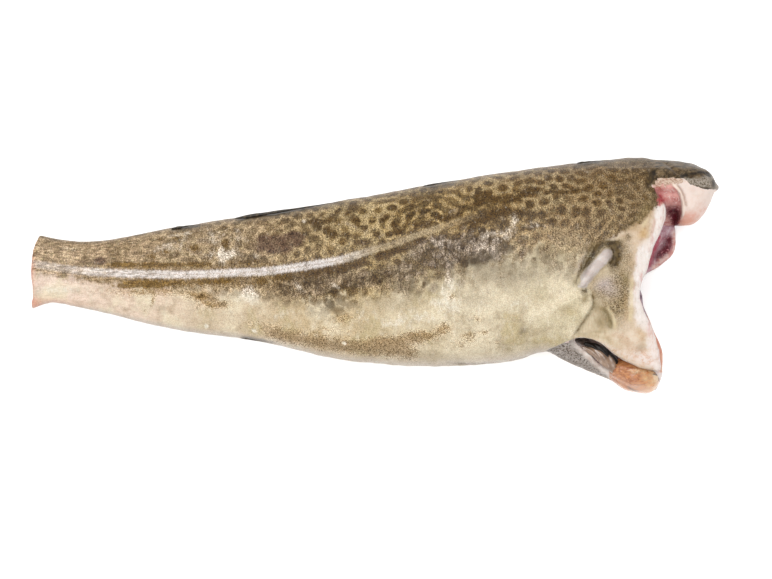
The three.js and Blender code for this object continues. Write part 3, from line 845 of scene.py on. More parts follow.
def paint_masks(piece):
    """Stores what the material mixes its colours by, at each point of the fish."""
    points = vertex_points(piece)
    s, h, z = in_fish(points)
    level = z - middle(s)
    up = step(level, -0.8, 0.6)
    share = np.clip((h - belly(s)) / (back(s) - belly(s)), 0, 1)
    at = seen(s, h, z)

    # The fish's own skin coordinates: along the body, and round it from the ridge of the back.
    turn = np.arccos(np.clip(2 * share - 1, -1, 1)) * np.where(level >= 0, 1, -1)
    steps = np.linspace(0, np.pi, 200)
    arc = np.cumsum(np.hypot(np.sin(steps), THICK_SHARE * np.cos(steps))) * (steps[1] - steps[0])
    round_it = np.interp(np.abs(turn), steps, arc) * np.sign(turn) * (back(s) - belly(s)) / 2
    x, y = (points[:, 0] - cad_low.x) / MM, round_it * UNIT / MM
    warped = [c + WARP * look_up(smooth_noise(*TILE, 16, seed), x, y) for c, seed in ((x, 3), (y, 4))]

    def near(part, reach, low, high):
        """1 near a part's surface and 0 away from it, by lengths in millimetres."""
        return step(reach - np.abs(sample(parts[part], points)) / MM, low, high)

    line, side, along = near_line(LATERAL_LINE, *at)
    dark = (at[1] - profile(DARK_EDGE)(at[0])) / profile(DARK_SOFTNESS)(at[0])
    slots = np.clip(0.8 * fin_slots(s, h) + vent_slot(s, h), 0, 1)
    on_nape = near("nape", 0.9, -0.3, 0.3) * step(s, 89.6, 90.4)
    depth = -sample(parts["trunk"], points) / MM  # under the trunk's skin
    cap_side = signed(CAP_EDGE, *at)
    collar = near_line(NEAR_COLLAR[3:], s, h)[0]
    for centre, radii, wider in WHITE_EDGE:
        collar = collar - wider * blob(centre, radii)(s, h)
    facet = np.minimum(-signed(CAP_FOLD, *at), (at[0] - 94.6) * 0.6)
    masks = {
        "spots": look_up(spot_pattern(*TILE, 7.0, 1.12), *warped),
        "patch": look_up(smooth_noise(*TILE, 22, 5), x, y),
        "spotted": step(s, 9, 22) * (0.6 + 0.4 * step(s, 26, 50)),
        "along": s / 100,
        "share": share,
        "line": line * side + 0.18 * span(s, (18, 24), (42, 50)),
        "run": along,
        "line_show": 1 - 0.35 * step(s, 46, 53) - 0.65 * step(s, 56, 68),
        "dark": dark,
        "slots": slots * step(level, 0.2, 0.8),
        "under_skin": np.where(on_nape > 0.5, np.where(cap_side > 0, 0, 3), depth),
        "nape": on_nape,
        "cap_side": cap_side,
        "ridge_side": signed(LOIN_RIDGE, *at),
        "lining": near("cavity", 1.6, -0.4, 0.6) * step(s, 53, 55),
        "gill": near("gill", 1.6, -0.4, 0.6) * (1 - on_nape),
        "girdle": np.where((up > 0.5) & (on_nape < 0.1), girdle_depth(*at), -2),
        "collar": collar,
        "stub": np.where(up > 0.5, 1.0 - near_line(FIN_BASE, *at)[0], -1),
        "facet": np.where(on_nape > 0.5, facet, -2),
        "top_rim": step(s, 90, 90.6) * step(h, 9.6, 10.6) * (1 - on_nape),
        "wall_foot": step(s, 86, 88) * step(-h, 5, 7),
        "sliver": step(s, 86.5, 88) * span(-h, (0, 2), (5.2, 6.6)),
        "flap": np.where(up > 0.4, -sample(parts["corner"], points) / MM, -3),
        "flap_edge": line_distance(smooth_line(GAP_BELOW[2:], 6), *at)[0],
        "tail_cut": step(2 - sample(parts["tail"], points) / MM, 0, 1),
        "section": np.hypot((h - 0.8) / 5.6, level / 2.4),
        "from_core": np.hypot(h - 0.8, level),
        "bone": near("bone", 1.5, 0, 0.8) * step(s, 86, 88),
        "from_bone": np.hypot(h - BACKBONE_HEIGHT, z - float(middle(90))),
    }
    masks.update({name: total_of(marks, *at) * up for name, marks in MARKS.items()})
    masks.update({name: total_of(marks, *at) for name, marks in FLESH_MARKS.items()})
    for name, values in masks.items():
        store(piece, name, values)


FLAT_PATCH = 2 * MM  # the underside stays smooth up to this height


def roughen(piece):
    """Small dents and folds all over the skin, larger on the girdle and the nape."""
    points = vertex_points(piece)
    normals = np.empty(points.size)
    piece.data.vertices.foreach_get("normal", normals)
    normals = normals.reshape(-1, 3)
    s, h, _ = in_fish(points)
    x, y = (points[:, 0] - cad_low.x) / MM, (points[:, 1] - cad_low.y + 0.7 * points[:, 2]) / MM
    wide, fine = smooth_noise(*TILE, 18, 21), smooth_noise(2 * TILE[0], 2 * TILE[1], 8, 22)
    front = step(s, 78, 84)
    cap = step(s, 89.5, 91.5) * step(h, 12, 13.5)
    push = -0.16 * look_up(wide, x, y) - 0.07 * look_up(fine, 2 * x, 2 * y)
    push += (0.3 * cap - 0.12 * front) * look_up(fine, 1.3 * x + 90, 1.3 * y)
    push = np.where(points[:, 2] < FLAT_PATCH, 0, push)
    points += normals * (push * MM)[:, None]
    piece.data.vertices.foreach_set("co", points.ravel())
    piece.data.update()


body_field, parts = fish_field()
fish = mesh_of(body_field, "cod_body")
paint_masks(fish)
roughen(fish)


# ---- Materials ----
LIGHT = 2.1  # how much brighter than white the studio lights a white thing


def colour(red, green, blue):
    """A look under the studio's light, given from 0 to 255, as the colour a shader takes."""
    values = [v / 255 for v in (red, green, blue)]
    linear = [v / 12.92 if v <= 0.04045 else ((v + 0.055) / 1.055) ** 2.4 for v in values]
    return tuple(v / LIGHT for v in linear) + (1,)


def tint(value):
    """A colour given as three numbers as a shader's colour, and anything else as it is."""
    return colour(*value) if isinstance(value, tuple) and len(value) == 3 else value


class Value:
    """What a node gives over the surface, to be added, taken away and multiplied."""

    def __init__(self, graph, socket):
        self.graph = graph
        self.socket = socket

    def __add__(self, other):
        return self.graph.maths("ADD", self, other)

    def __sub__(self, other):
        return self.graph.maths("SUBTRACT", self, other)

    def __rsub__(self, other):
        return self.graph.maths("SUBTRACT", other, self)

    def __mul__(self, other):
        return self.graph.maths("MULTIPLY", self, other)

    def __abs__(self):
        return self.graph.maths("ABSOLUTE", self)


class Graph:
    """A material's nodes, made by short calls. A mask may be given by its name alone."""

    def __init__(self, name):
        self.material = bpy.data.materials.new(name)
        self.material.use_nodes = True
        self.tree = self.material.node_tree
        self.place = self.node("TexCoord", "Object", {})

    def put(self, socket, value):
        if isinstance(value, str):
            value = self.mask(value)
        if isinstance(value, Value):
            self.tree.links.new(value.socket, socket)
        else:
            socket.default_value = value

    def node(self, kind, output, inputs, **settings):
        """One of the outputs of a new node with these inputs and settings."""
        node = self.tree.nodes.new("ShaderNode" + kind)
        for name, setting in settings.items():
            setattr(node, name, setting)
        for name, value in inputs.items():
            self.put(node.inputs[name], value)
        return Value(self, node.outputs[output])

    def look(self, piece, settings):
        """Sets the shader's own sockets and puts the material on a piece."""
        for name, value in settings.items():
            self.put(self.tree.nodes["Principled BSDF"].inputs[name], value)
        piece.data.materials.append(self.material)

    def mask(self, name):
        return self.node("Attribute", "Fac", {}, attribute_name=name)

    def maths(self, operation, a, b=0.0):
        return self.node("Math", 0, {0: a, 1: b}, operation=operation)

    def ease(self, value, low, high, to_low=0.0, to_high=1.0):
        """A smooth change from to_low to to_high as a value goes from low to high."""
        ends = {"From Min": low, "From Max": high, "To Min": to_low, "To Max": to_high}
        inputs = {"Value": value, **ends}
        return self.node("MapRange", "Result", inputs, interpolation_type="SMOOTHSTEP")

    def mix(self, share, a, b, blend="MIX"):
        inputs = {0: share, 6: tint(a), 7: tint(b)}
        return self.node("Mix", 2, inputs, data_type="RGBA", blend_type=blend)

    def blend(self, value, low, high, below, above):
        """One look below a value's low end and another above its high end."""
        return self.mix(self.ease(value, low, high), below, above)

    def ramp(self, value, stops):
        """Colours along a value: stops are (value, colour)."""
        found = self.node("ValToRGB", 0, {0: value})
        ramp = found.socket.node.color_ramp
        ramp.interpolation = "EASE"
        while len(ramp.elements) < len(stops):
            ramp.elements.new(0.5)
        for element, (position, shade) in zip(ramp.elements, stops):
            element.position = position
            element.color = tint(shade)
        return found

    def vector(self, x, y, z):
        return self.node("CombineXYZ", 0, {0: x, 1: y, 2: z})

    def scaled(self, x, y, z):
        return self.node("Mapping", 0, {"Vector": self.place, "Scale": (x, y, z)})

    def slanted(self, angle, length):
        """The place, drawn out along an axis leaning left of upright by an angle in radians."""
        inputs = {"Vector": self.place, "Rotation": (0, 0, angle), "Scale": (1, length, 1)}
        return self.node("Mapping", 0, inputs, vector_type="TEXTURE")

    def noise(self, size, detail=3, rough=0.55, vector=None, warp=0):
        """Noise whose features are about size across, in metres unless a vector is given."""
        inputs = {"Vector": vector or self.place, "Scale": 1 / size, "Detail": detail}
        return self.node("TexNoise", "Fac", {**inputs, "Roughness": rough, "Distortion": warp})

    def centred(self, value, reach):
        """Noise as a push to either side."""
        return (value - 0.5) * (2 * reach)

    def cells(self, size):
        return self.node("TexVoronoi", "Distance", {"Vector": self.place, "Scale": 1 / size})

    def bump(self, height, strength, distance):
        inputs = {"Strength": strength, "Distance": distance, "Height": height}
        return self.node("Bump", 0, inputs)


def fish_material():
    g = Graph("wet_fish")
    mask, maths, noise, centred = g.mask, g.maths, g.noise, g.centred
    ease, mix, blend, scaled = g.ease, g.mix, g.blend, g.scaled
    broad = noise(0.026, 3)
    medium = noise(0.0085, 4, 0.6)
    small = noise(0.0032, 3, 0.6)
    grain = noise(0.001, 2, 0.8)
    upright = noise(0.0013, 3, 0.65, scaled(1, 0.42, 0.6))
    tufts = noise(0.0034, 3, 0.65, scaled(1, 0.38, 0.6))
    scales = g.cells(0.0013)
    along = mask("along")
    line = mask("line")

    # The belly's cream and the back's olive brown, each changing along the fish.
    cream = g.ramp(along, [
        (0, (246, 222, 206)), (0.14, (237, 214, 193)), (0.28, (219, 200, 172)),
        (0.42, (206, 184, 146)), (0.56, (218, 202, 170)), (0.66, (216, 202, 174)),
        (0.78, (210, 197, 165)), (1, (222, 206, 180)),
    ])
    clouds = noise(0.021, 3, 0.5)
    cream = mix(ease(medium, 0.38, 0.72, 0, 0.8), cream, mix(0.5, cream, (164, 142, 104)))
    cream = mix(ease(clouds, 0.48, 0.64, 0, 0.8), cream, (237, 223, 194))
    fleshy = ease(along, 0.14, 0.34)
    cream = mix(ease(clouds, 0.34, 0.47, 0.8, 0) * fleshy, cream, (194, 177, 136))
    cream = mix(ease(tufts, 0.48, 0.72, 0, 0.4), cream, (238, 226, 202))
    stain = mask("tan") + (centred(small, 0.5) + centred(grain, 0.3))
    stain_tone = blend("share", 0.06, 0.3, (152, 128, 96), (148, 116, 66))
    cream = mix(ease(stain, 0.12, 1, 0, 0.85), cream, stain_tone)
    cream = mix(ease("share", 0, 0.07, 0.8, 0), cream, (202, 190, 178))
    olive = g.ramp(along, [
        (0, (190, 168, 140)), (0.12, (172, 150, 122)), (0.3, (170, 149, 120)),
        (0.5, (160, 137, 93)), (0.62, (164, 138, 92)), (0.78, (130, 105, 72)),
        (0.885, (128, 108, 80)), (0.915, (84, 70, 52)), (1, (76, 64, 50)),
    ])
    olive = blend(medium, 0.4, 0.68, olive, mix(0.6, olive, (98, 76, 40)))
    front = ease(along + centred(broad, 0.03), 0.74, 0.9)
    light = ease(small, 0.5, 0.72, 0, 0.6) * (1 - front * 0.6)
    olive = mix(light, olive, (192, 175, 137))
    edge = mask("dark") + centred(medium, 1.4)
    dark = ease(edge + centred(tufts, 1.5), -0.9, 0.9)
    base = mix(dark, cream, olive)

    # Dark spots between a paler net, thinning out down the flank.
    rough_spots = mask("spots") + centred(small, 1.3) + centred(grain, 1.4)
    rough_spots = rough_spots + mask("patch") * 0.35
    faint = ease(mask("dark") + mask("patch") * 0.5, -2, 1.8)
    faint = mask("spotted") * faint * (1 - mask("nape"))
    faint = faint * (1 - mask("dull") * 0.7)
    net = ease(rough_spots, -1.4, 0, 1, 0) * faint * (1 - front * 0.85)
    base = mix(net * 0.52, base, (190, 172, 134))
    weight = ease(noise(0.009, 2), 0.34, 0.62, 0.65, 1) * (1 - front * 0.12)
    spots = ease(rough_spots, -0.6, 0.8) * faint * weight
    deep_spot = blend(broad, 0.4, 0.6, (57, 40, 13), (84, 61, 23))
    base = mix(spots * 0.92, base, deep_spot)
    base = mix(mask("dull") * 0.4, base, blend(tufts, 0.35, 0.65, (160, 142, 114), (196, 180, 152)))
    base = mix(mask("shade") * 0.45, base, (84, 66, 38))
    torn = centred(tufts, 0.55) + centred(small, 0.3)
    brown = ease(mask("brown") + torn, 0.2, 0.62)
    brown_tone = blend(along, 0.1, 0.4, (118, 90, 38), (74, 53, 20))
    base = mix(brown * 0.86, base, brown_tone)

    # Bruises, mottles, rubbed patches and the painted sheen of slime.
    bruise = ease(mask("bruise") + (centred(small, 0.4) + centred(grain, 0.2)), 0.25, 0.7)
    base = mix(bruise * 0.8, base, (88, 66, 54))
    streaky = centred(tufts, 0.6) + (centred(upright, 0.3) + centred(medium, 1))
    mottle = ease(mask("mottle") + centred(medium, 0.5), 0, 0.9)
    blotches = streaky + centred(noise(0.012, 3, 0.6), 1.2)
    ashen = blend(along, 0.5, 0.6, (172, 153, 128), (196, 182, 168))
    mottle_tone = blend(blotches, -0.25, 0.85, (60, 43, 22), ashen)
    base = mix(mottle * 0.82, base, mottle_tone)
    pale = ease(mask("pale") + (streaky * 0.7 + centred(grain, 0.3)), 0.2, 1)
    pale_and_sheen_tone = mix(dark, (244, 236, 218), (214, 204, 190))
    base = mix(pale * 0.85, base, pale_and_sheen_tone)

    # The lateral line, pale with a comb of fine strokes, between two dark bands.
    bristles = noise(0.22, 3, 0.7, g.vector(mask("run"), line * 0.1, along * 3))
    comb = centred(bristles, 1.5)
    away = abs(line) * ease(along, 0.42, 0.55, 1, 1.2)
    show = mask("line_show")
    reach = ease(line, -0.5, 0.5, 0, 0.75)
    band = ease(away + reach + comb * 1.4, 1.1, 2.3, 1, 0)
    band = band * ease(noise(0.014, 3), 0.36, 0.54, 0.3, 1)
    band = band * show * ease(along, 0.08, 0.2, 0.3, 1)
    band_tone = blend(along, 0.3, 0.45, (112, 86, 40), (74, 54, 26))
    base = mix(band * ease(along, 0.2, 0.25, 0.9, 0.75), base, band_tone)
    core = ease(away + comb * 0.18, 0.3, 0.8, 1, 0)
    hairs = ease(away, 0.4, 1.1, 0.4, 0) * ease(comb, -0.25, 0.05, 1, 0)
    white = maths("MAXIMUM", core, hairs)
    thread = ease(away + comb * 0.1, 0, 0.16, 0.75, 1)
    white = white * show * (thread * ease(along, 0.02, 0.14, 0.45, 1))
    white = white * ease(noise(0.006, 3), 0.3, 0.55, 0.6, 1)
    line_tone = blend(along, 0.42, 0.52, (234, 227, 224), (192, 174, 142))
    base = mix(white * 0.85, base, line_tone)

    # The blush of the tail cut, the fins' cut bases and a greyer tone along the top edge of the back.
    base = mix(mask("blush") * 0.6, base, (226, 150, 122))
    base = mix(ease("share", 0.93, 1) * 0.35, base, (120, 110, 98))
    base = mix("slots", base, (44, 40, 34))

    # Fine strokes and grain of light and dark over the whole skin.
    stroke_tone = ease(upright * 0.5 + grain * 0.5, 0.36, 0.62)
    low_tone, high_tone = (0.15, 0.12, 0.08, 1), (0.96, 0.96, 0.96, 1)
    calm = (1 - white * 0.6) * ease(along, 0.1, 0.34, 0.6, 1)
    share = ease(dark, 0, 1, 0.13, 0.6) * calm
    base = mix(share, base, mix(stroke_tone, low_tone, high_tone), "OVERLAY")
    drawn_out = noise(0.0013, 3, 0.6, scaled(0.2, 1, 1))
    share = ease(along, 0.1, 0.36, 0.42, 0) * ease(dark, 0, 1, 0.2, 1)
    base = mix(share, base, blend(drawn_out, 0.38, 0.62, low_tone, high_tone), "OVERLAY")
    fine = ease(noise(0.0006, 1, 0.6), 0.38, 0.62)
    stipple = maths("MAXIMUM", dark, ease(stain, 0.1, 0.6))
    share = ease(stipple, 0, 1, 0.2, 0.85) * calm
    base = mix(share, base, mix(fine, low_tone, high_tone), "OVERLAY")
    # Painted glints of the wet skin, mostly where the skin is dark.
    glint_noise = noise(0.0012, 3, 0.8, scaled(1, 0.5, 0.6))
    glint = ease(glint_noise, 0.6, 0.75) * ease(dark, 0, 1, 0.2, 0.6)
    base = mix(glint, base, (226, 214, 194))
    streaked = noise(0.003, 4, 0.7, g.slanted(-0.8, 3))
    cap_tone = blend(streaked + centred(grain, 0.2), 0.36, 0.64, (56, 43, 26), (138, 115, 84))
    base = mix(mask("nape") * 0.85, base, cap_tone)
    facet = ease(mask("facet") + centred(small, 0.5), -0.1, 0.5)
    base = mix(
        facet, base, blend(grain + centred(small, 0.15), 0.38, 0.6, (96, 82, 66), (196, 184, 168)),
    )

    # The bare girdle between the skin's edge and the collar.
    frayed = centred(medium, 0.9) + (centred(small, 0.7) + centred(grain, 0.35))
    inside = ease(mask("girdle") + frayed, -0.1, 0.55)
    fibres = noise(0.0015, 3, 0.6, scaled(1, 0.3, 0.4))
    behind = blend(medium, 0.3, 0.7, (233, 216, 186), (208, 187, 152))
    girdle = blend(medium, 0.3, 0.7, (232, 209, 184), (210, 185, 152))
    girdle = blend(along + centred(broad, 0.01), 0.84, 0.87, behind, girdle)
    girdle = mix(ease(fibres, 0.45, 0.72) * 0.3, girdle, (152, 126, 88))
    girdle = mix(
        mask("cream") * 0.85, girdle, blend(medium, 0.4, 0.65, (246, 228, 206), (226, 196, 168)),
    )
    under = blend(small, 0.35, 0.6, (204, 184, 150), (178, 155, 116))
    under = mix("lilac", under, (212, 196, 188))
    girdle = mix("speckle", girdle, under)
    dots = ease(noise(0.0008, 2, 0.7) + centred(small, 0.1), 0.46, 0.54, 1, 0)
    dots = dots * (1 - mask("lilac") * 0.6)
    girdle = mix(mask("speckle") * dots * 0.95, girdle, (86, 66, 38))
    white_edge = ease(mask("collar") + centred(medium, 1.3), 0.5, 2.1, 1, 0)
    white_edge = white_edge * ease(fibres, 0.3, 0.6, 1, 0.8)
    veins = noise(0.004, 3, 0.6, scaled(1, 0.3, 0.4))
    veined = blend(veins, 0.5, 0.66, (252, 243, 238), (232, 200, 196))
    girdle = mix(white_edge, girdle, veined)
    girdle = mix(
        mask("amber") * 0.8, girdle, blend(small, 0.4, 0.65, (216, 180, 128), (186, 140, 84)),
    )
    # Pale yellow, partly painted highlights on the rims of the folds.
    girdle = mix("yellow", girdle, (240, 221, 180))
    stub = ease(mask("stub") + centred(small, 0.3), -0.02, 0.4)
    girdle = mix(stub, girdle, blend(medium, 0.35, 0.65, (238, 228, 221), (208, 193, 185)))
    raw = mask("raw") + centred(small, 0.6)
    girdle = blend(
        raw, 0.35, 0.9, girdle, blend(fibres, 0.38, 0.62, (232, 166, 156), (186, 100, 98)),
    )
    girdle = mix(mask("red") * ease(small, 0.3, 0.6, 0.5, 0.9), girdle, (176, 40, 56))
    base = mix(inside, base, girdle)
    # Olive painted shade in the folds and grooves of the flap and its pocket, partly the girdle's own
    # olive.
    base = mix(mask("olive") * 0.8, base, mix(stroke_tone, (112, 94, 56), (160, 140, 96)))
    base = mix(
        mask("flap_end") * 0.85, base,
        blend(small + centred(grain, 0.2), 0.4, 0.65, (252, 236, 228), (234, 194, 172)),
    )
    # Painted shade in the hollows and creases, kept off the fin's stub.
    ragged = centred(medium, 0.3) + (centred(small, 0.5) + centred(grain, 0.7))
    pit = ease(mask("pit") + ragged, 0.05, 0.95)
    pit = pit * (1 - stub * 0.9)
    crease_shade_tone = blend(small, 0.4, 0.62, (62, 46, 25), (106, 86, 52))
    base = mix(pit * 0.95, base, mix("nape", crease_shade_tone, (42, 34, 26)))

    # The lower flap's grey-white skin with dark specks.
    flap = ease("flap", -0.3, 0.3)
    dark_dots = ease(noise(0.0013, 2, 0.7), 0.42, 0.52, 1, 0)
    dark_dots = dark_dots * ease("flap_edge", 0.3, 0.9)
    dark_dots = dark_dots * ease("share", -0.01, 0.02)
    flap_skin = blend(medium, 0.35, 0.65, (184, 174, 166), (150, 138, 128))
    flap_skin = mix(dark_dots * 0.9, flap_skin, (88, 74, 62))
    white_cut = ease(mask("flap_edge") + centred(small, 0.5), 0.3, 1, 1, 0)
    white_cut = white_cut * ease(along, 0.78, 0.81)
    flap_skin = mix(white_cut, flap_skin, blend(medium, 0.4, 0.6, (234, 222, 212), (208, 190, 178)))
    base = mix(flap, base, flap_skin)

    # Cut flesh, the loin, the meat beside it, the gill chamber and the lining of the belly.
    flesh = blend(medium, 0.35, 0.65, (248, 236, 230), (234, 200, 190))
    low = ease(mask("cap_side") + centred(medium, 1.6), -6, -3.2)
    loin = mix(low, (238, 168, 138), (249, 230, 219))
    loin = mix(ease(small, 0.4, 0.7) * 0.3, loin, (232, 198, 178))
    loin = mix(mask("red_foot") * ease(small, 0.35, 0.65, 0.4, 0.9), loin, (228, 150, 128))
    meat = blend(small, 0.35, 0.65, (232, 172, 162), (196, 120, 114))
    meat = mix(ease(noise(0.0016, 3, 0.7), 0.52, 0.66, 0, 0.8), meat, (246, 220, 212))
    shaved = ease(mask("cap_side") + centred(small, 0.9), -1.5, -0.6)
    meat = mix(shaved, meat, blend(grain, 0.4, 0.6, (176, 140, 116), (230, 204, 184)))
    loin = blend(mask("ridge_side") + centred(small, 0.3), -0.25, 0.1, meat, loin)
    # The pale membrane along the loin's crest, with a painted highlight on it.
    pale_ridge_and_highlight = abs(mask("ridge_side") - 0.12)
    pale_ridge_and_highlight = ease(pale_ridge_and_highlight + centred(small, 0.2), 0.1, 0.32, 1, 0) * ease("cap_side", -5.6, -4.4)
    loin = mix(pale_ridge_and_highlight, loin, (254, 234, 218))
    loin = blend(
        mask("shaved") + centred(small, 0.5), 0.4, 0.8, loin,
        blend(grain, 0.4, 0.6, (182, 148, 124), (232, 208, 188)),
    )
    # Painted shade beside the loin's crest.
    loin = mix(mask("ridge_line") * 0.8, loin, (150, 108, 82))
    flesh = mix("nape", flesh, loin)
    flesh = mix(
        mask("top_rim") * 0.8, flesh, blend(fibres, 0.4, 0.6, (226, 150, 146), (178, 88, 92)),
    )
    streaks = noise(0.0022, 4, 0.7, g.slanted(-0.33, 4), 0.4)
    gill = blend(small, 0.35, 0.65, (228, 184, 194), (192, 136, 148))
    gill = blend(streaks, 0.5, 0.64, gill, (249, 227, 231))
    gill = mix(ease(streaks, 0.3, 0.44, 0.7, 0), gill, (150, 80, 94))
    foot = blend(medium, 0.4, 0.6, (252, 200, 172), (240, 168, 142))
    gill = mix("wall_foot", gill, foot)
    gill = mix("pink_line", gill, (214, 96, 114))
    flesh = mix("gill", flesh, gill)
    lining = blend(medium, 0.38, 0.62, (150, 130, 120), (78, 64, 58))
    lining = mix(ease(tufts, 0.5, 0.7, 0, 0.6), lining, (196, 172, 160))
    lining = mix("wall_foot", lining, foot)
    flesh = mix("lining", flesh, lining)
    sliver = mask("sliver") * maths("MAXIMUM", mask("gill"), mask("lining"))
    flesh = mix(sliver, flesh, blend(small, 0.4, 0.6, (212, 190, 200), (152, 124, 138)))
    flesh = mix(mask("red") * ease(small, 0.3, 0.6, 0.6, 1), flesh, (186, 44, 62))
    # Dark red of the blood in the hollows, with painted shade.
    speckled = blend(noise(0.0016, 2, 0.7), 0.6, 0.68, (104, 26, 40), (206, 130, 136))
    flesh = mix(mask("deep") * ease(small, 0.3, 0.55, 0.75, 1), flesh, speckled)
    # The hollow's pale edge, and a painted highlight on it.
    flesh = mix("rim", flesh, blend(small, 0.4, 0.6, (250, 214, 204), (226, 158, 148)))

    # The tail's cut, with rings of muscle round the backbone, and the backbone's own cut end.
    rings = maths("SINE", (mask("section") + centred(medium, 0.12)) * 34)
    cut = mix(ease(rings, 0.2, 1, 0, 0.75), (246, 222, 212), (226, 178, 166))
    cut = blend(mask("section") + centred(small, 0.2), 0.7, 1, cut, (222, 150, 130))
    cut = mix(ease("from_core", 0.55, 0.8, 1, 0), cut, (238, 228, 214))
    cut = mix(ease("from_core", 0.2, 0.4, 1, 0), cut, (186, 130, 118))
    flesh = mix("tail_cut", flesh, cut)
    spine = mix(ease("from_bone", 0.45, 0.75, 1, 0), (240, 230, 214), (176, 116, 104))
    spine = blend("from_bone", 1, 1.35, spine, (214, 166, 154))
    flesh = mix("bone", flesh, mix(ease(small, 0.4, 0.7, 0, 0.5), spine, (206, 176, 160)))
    bare = ease(mask("under_skin") + centred(small, 0.5), 0.7, 1.3)
    relief = upright * 0.6 + grain * 0.3 + scales * 0.35
    g.look(fish, {
        "Base Color": mix(bare, base, flesh),
        "Roughness": ease(grain + centred(medium, 0.2), 0.3, 0.7, 0.32, 0.55),
        "IOR": 1.38, "Specular IOR Level": 0.15,
        "Subsurface Weight": 0.08, "Subsurface Radius": (1, 0.45, 0.3),
        "Subsurface Scale": 0.0025, "Coat Weight": 0.03, "Coat Roughness": 0.15,
        "Normal": g.bump(relief, 0.5, 0.0005),
    })


fish_material()
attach(fish, "root")
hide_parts("cod")


# ---- The dark stumps of the trimmed fins, along the back and under the tail ----
# Each from a station to a station, with its half width, on the back (1) or the belly (-1).
FIN_RUNS = [
    (20.4, 24.6, 0.26, 1), (29.7, 46, 0.36, 1), (57.2, 62.3, 0.18, 1), (79.5, 83.5, 0.18, 1),
    (30.6, 35.8, 0.12, -1),
]


def fin_stumps():
    rings, sides = 60, 12
    sunk, aside = 0.12, 0.24  # under the fish's edge, and off its middle level
    turn = 2 * np.pi * np.arange(sides) / sides
    points, faces = [], []
    for start, end, size, top in FIN_RUNS:
        first = len(points)
        for t in np.linspace(0, 1, rings):
            s = start + (end - start) * t
            swell = size * max(min(5 * t, 1) ** 0.5 * (1 - t) ** 1.2, 0.02)
            swell *= 1 + 0.12 * math.sin(23 * t + start)
            edge = back(s) - sunk if top > 0 else belly(s) + sunk
            level = middle(s) + aside * half_thickness(s)
            for across, up in zip(np.cos(turn), np.sin(turn)):
                points.append((s, edge + swell * across, level + 1.5 * swell * up))
        ring, _, quads = ring_faces(rings, sides)
        faces += (first + quads).tolist()
        faces += [(first + ring).tolist(), (len(points) - sides + ring).tolist()]
    piece = mesh_from(place(points).tolist(), faces, "fin_stumps")
    turn_outwards(piece)
    g = Graph("fin_stump_skin")
    rays = g.noise(0.0016, 3, 0.65, g.scaled(1, 0.3, 0.3))
    g.look(piece, {
        "Base Color": g.blend(rays, 0.4, 0.68, (40, 35, 28), (104, 92, 74)),
        "Roughness": g.ease(rays, 0.3, 0.7, 0.4, 0.6), "Specular IOR Level": 0.3,
        "Normal": g.bump(rays, 0.6, 0.0006),
    })
    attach(piece, "root")


fin_stumps()


# ---- The throat muscle left between the flaps ----
MUSCLE_CENTRE = (87.85, -14.5, 7.1)  # station, height and level
MUSCLE_RADII = (3.95, 2.4, 4.2)
MUSCLE_TURN = -0.36  # radians, seen from above
MUSCLE_SHINE = [(88.4, -14.1, 1.6, 0.7, 0.8, -0.2), (91, -14.9, 0.6, 0.5, 0.8)]
# Painted shade: in the nick at its right end, at its left end and along its lower edge.
MUSCLE_NICK_SHADE = [
    (stroke([(90.9, -14.4), (91.5, -14.55)], 0.14), 1), (84.7, -13.3, 0.5, 0.5, 0.5),
    (stroke([(86.9, -16), (87.6, -16.6), (88.9, -17.1)], 0.12, 0.5), 0.9),
]


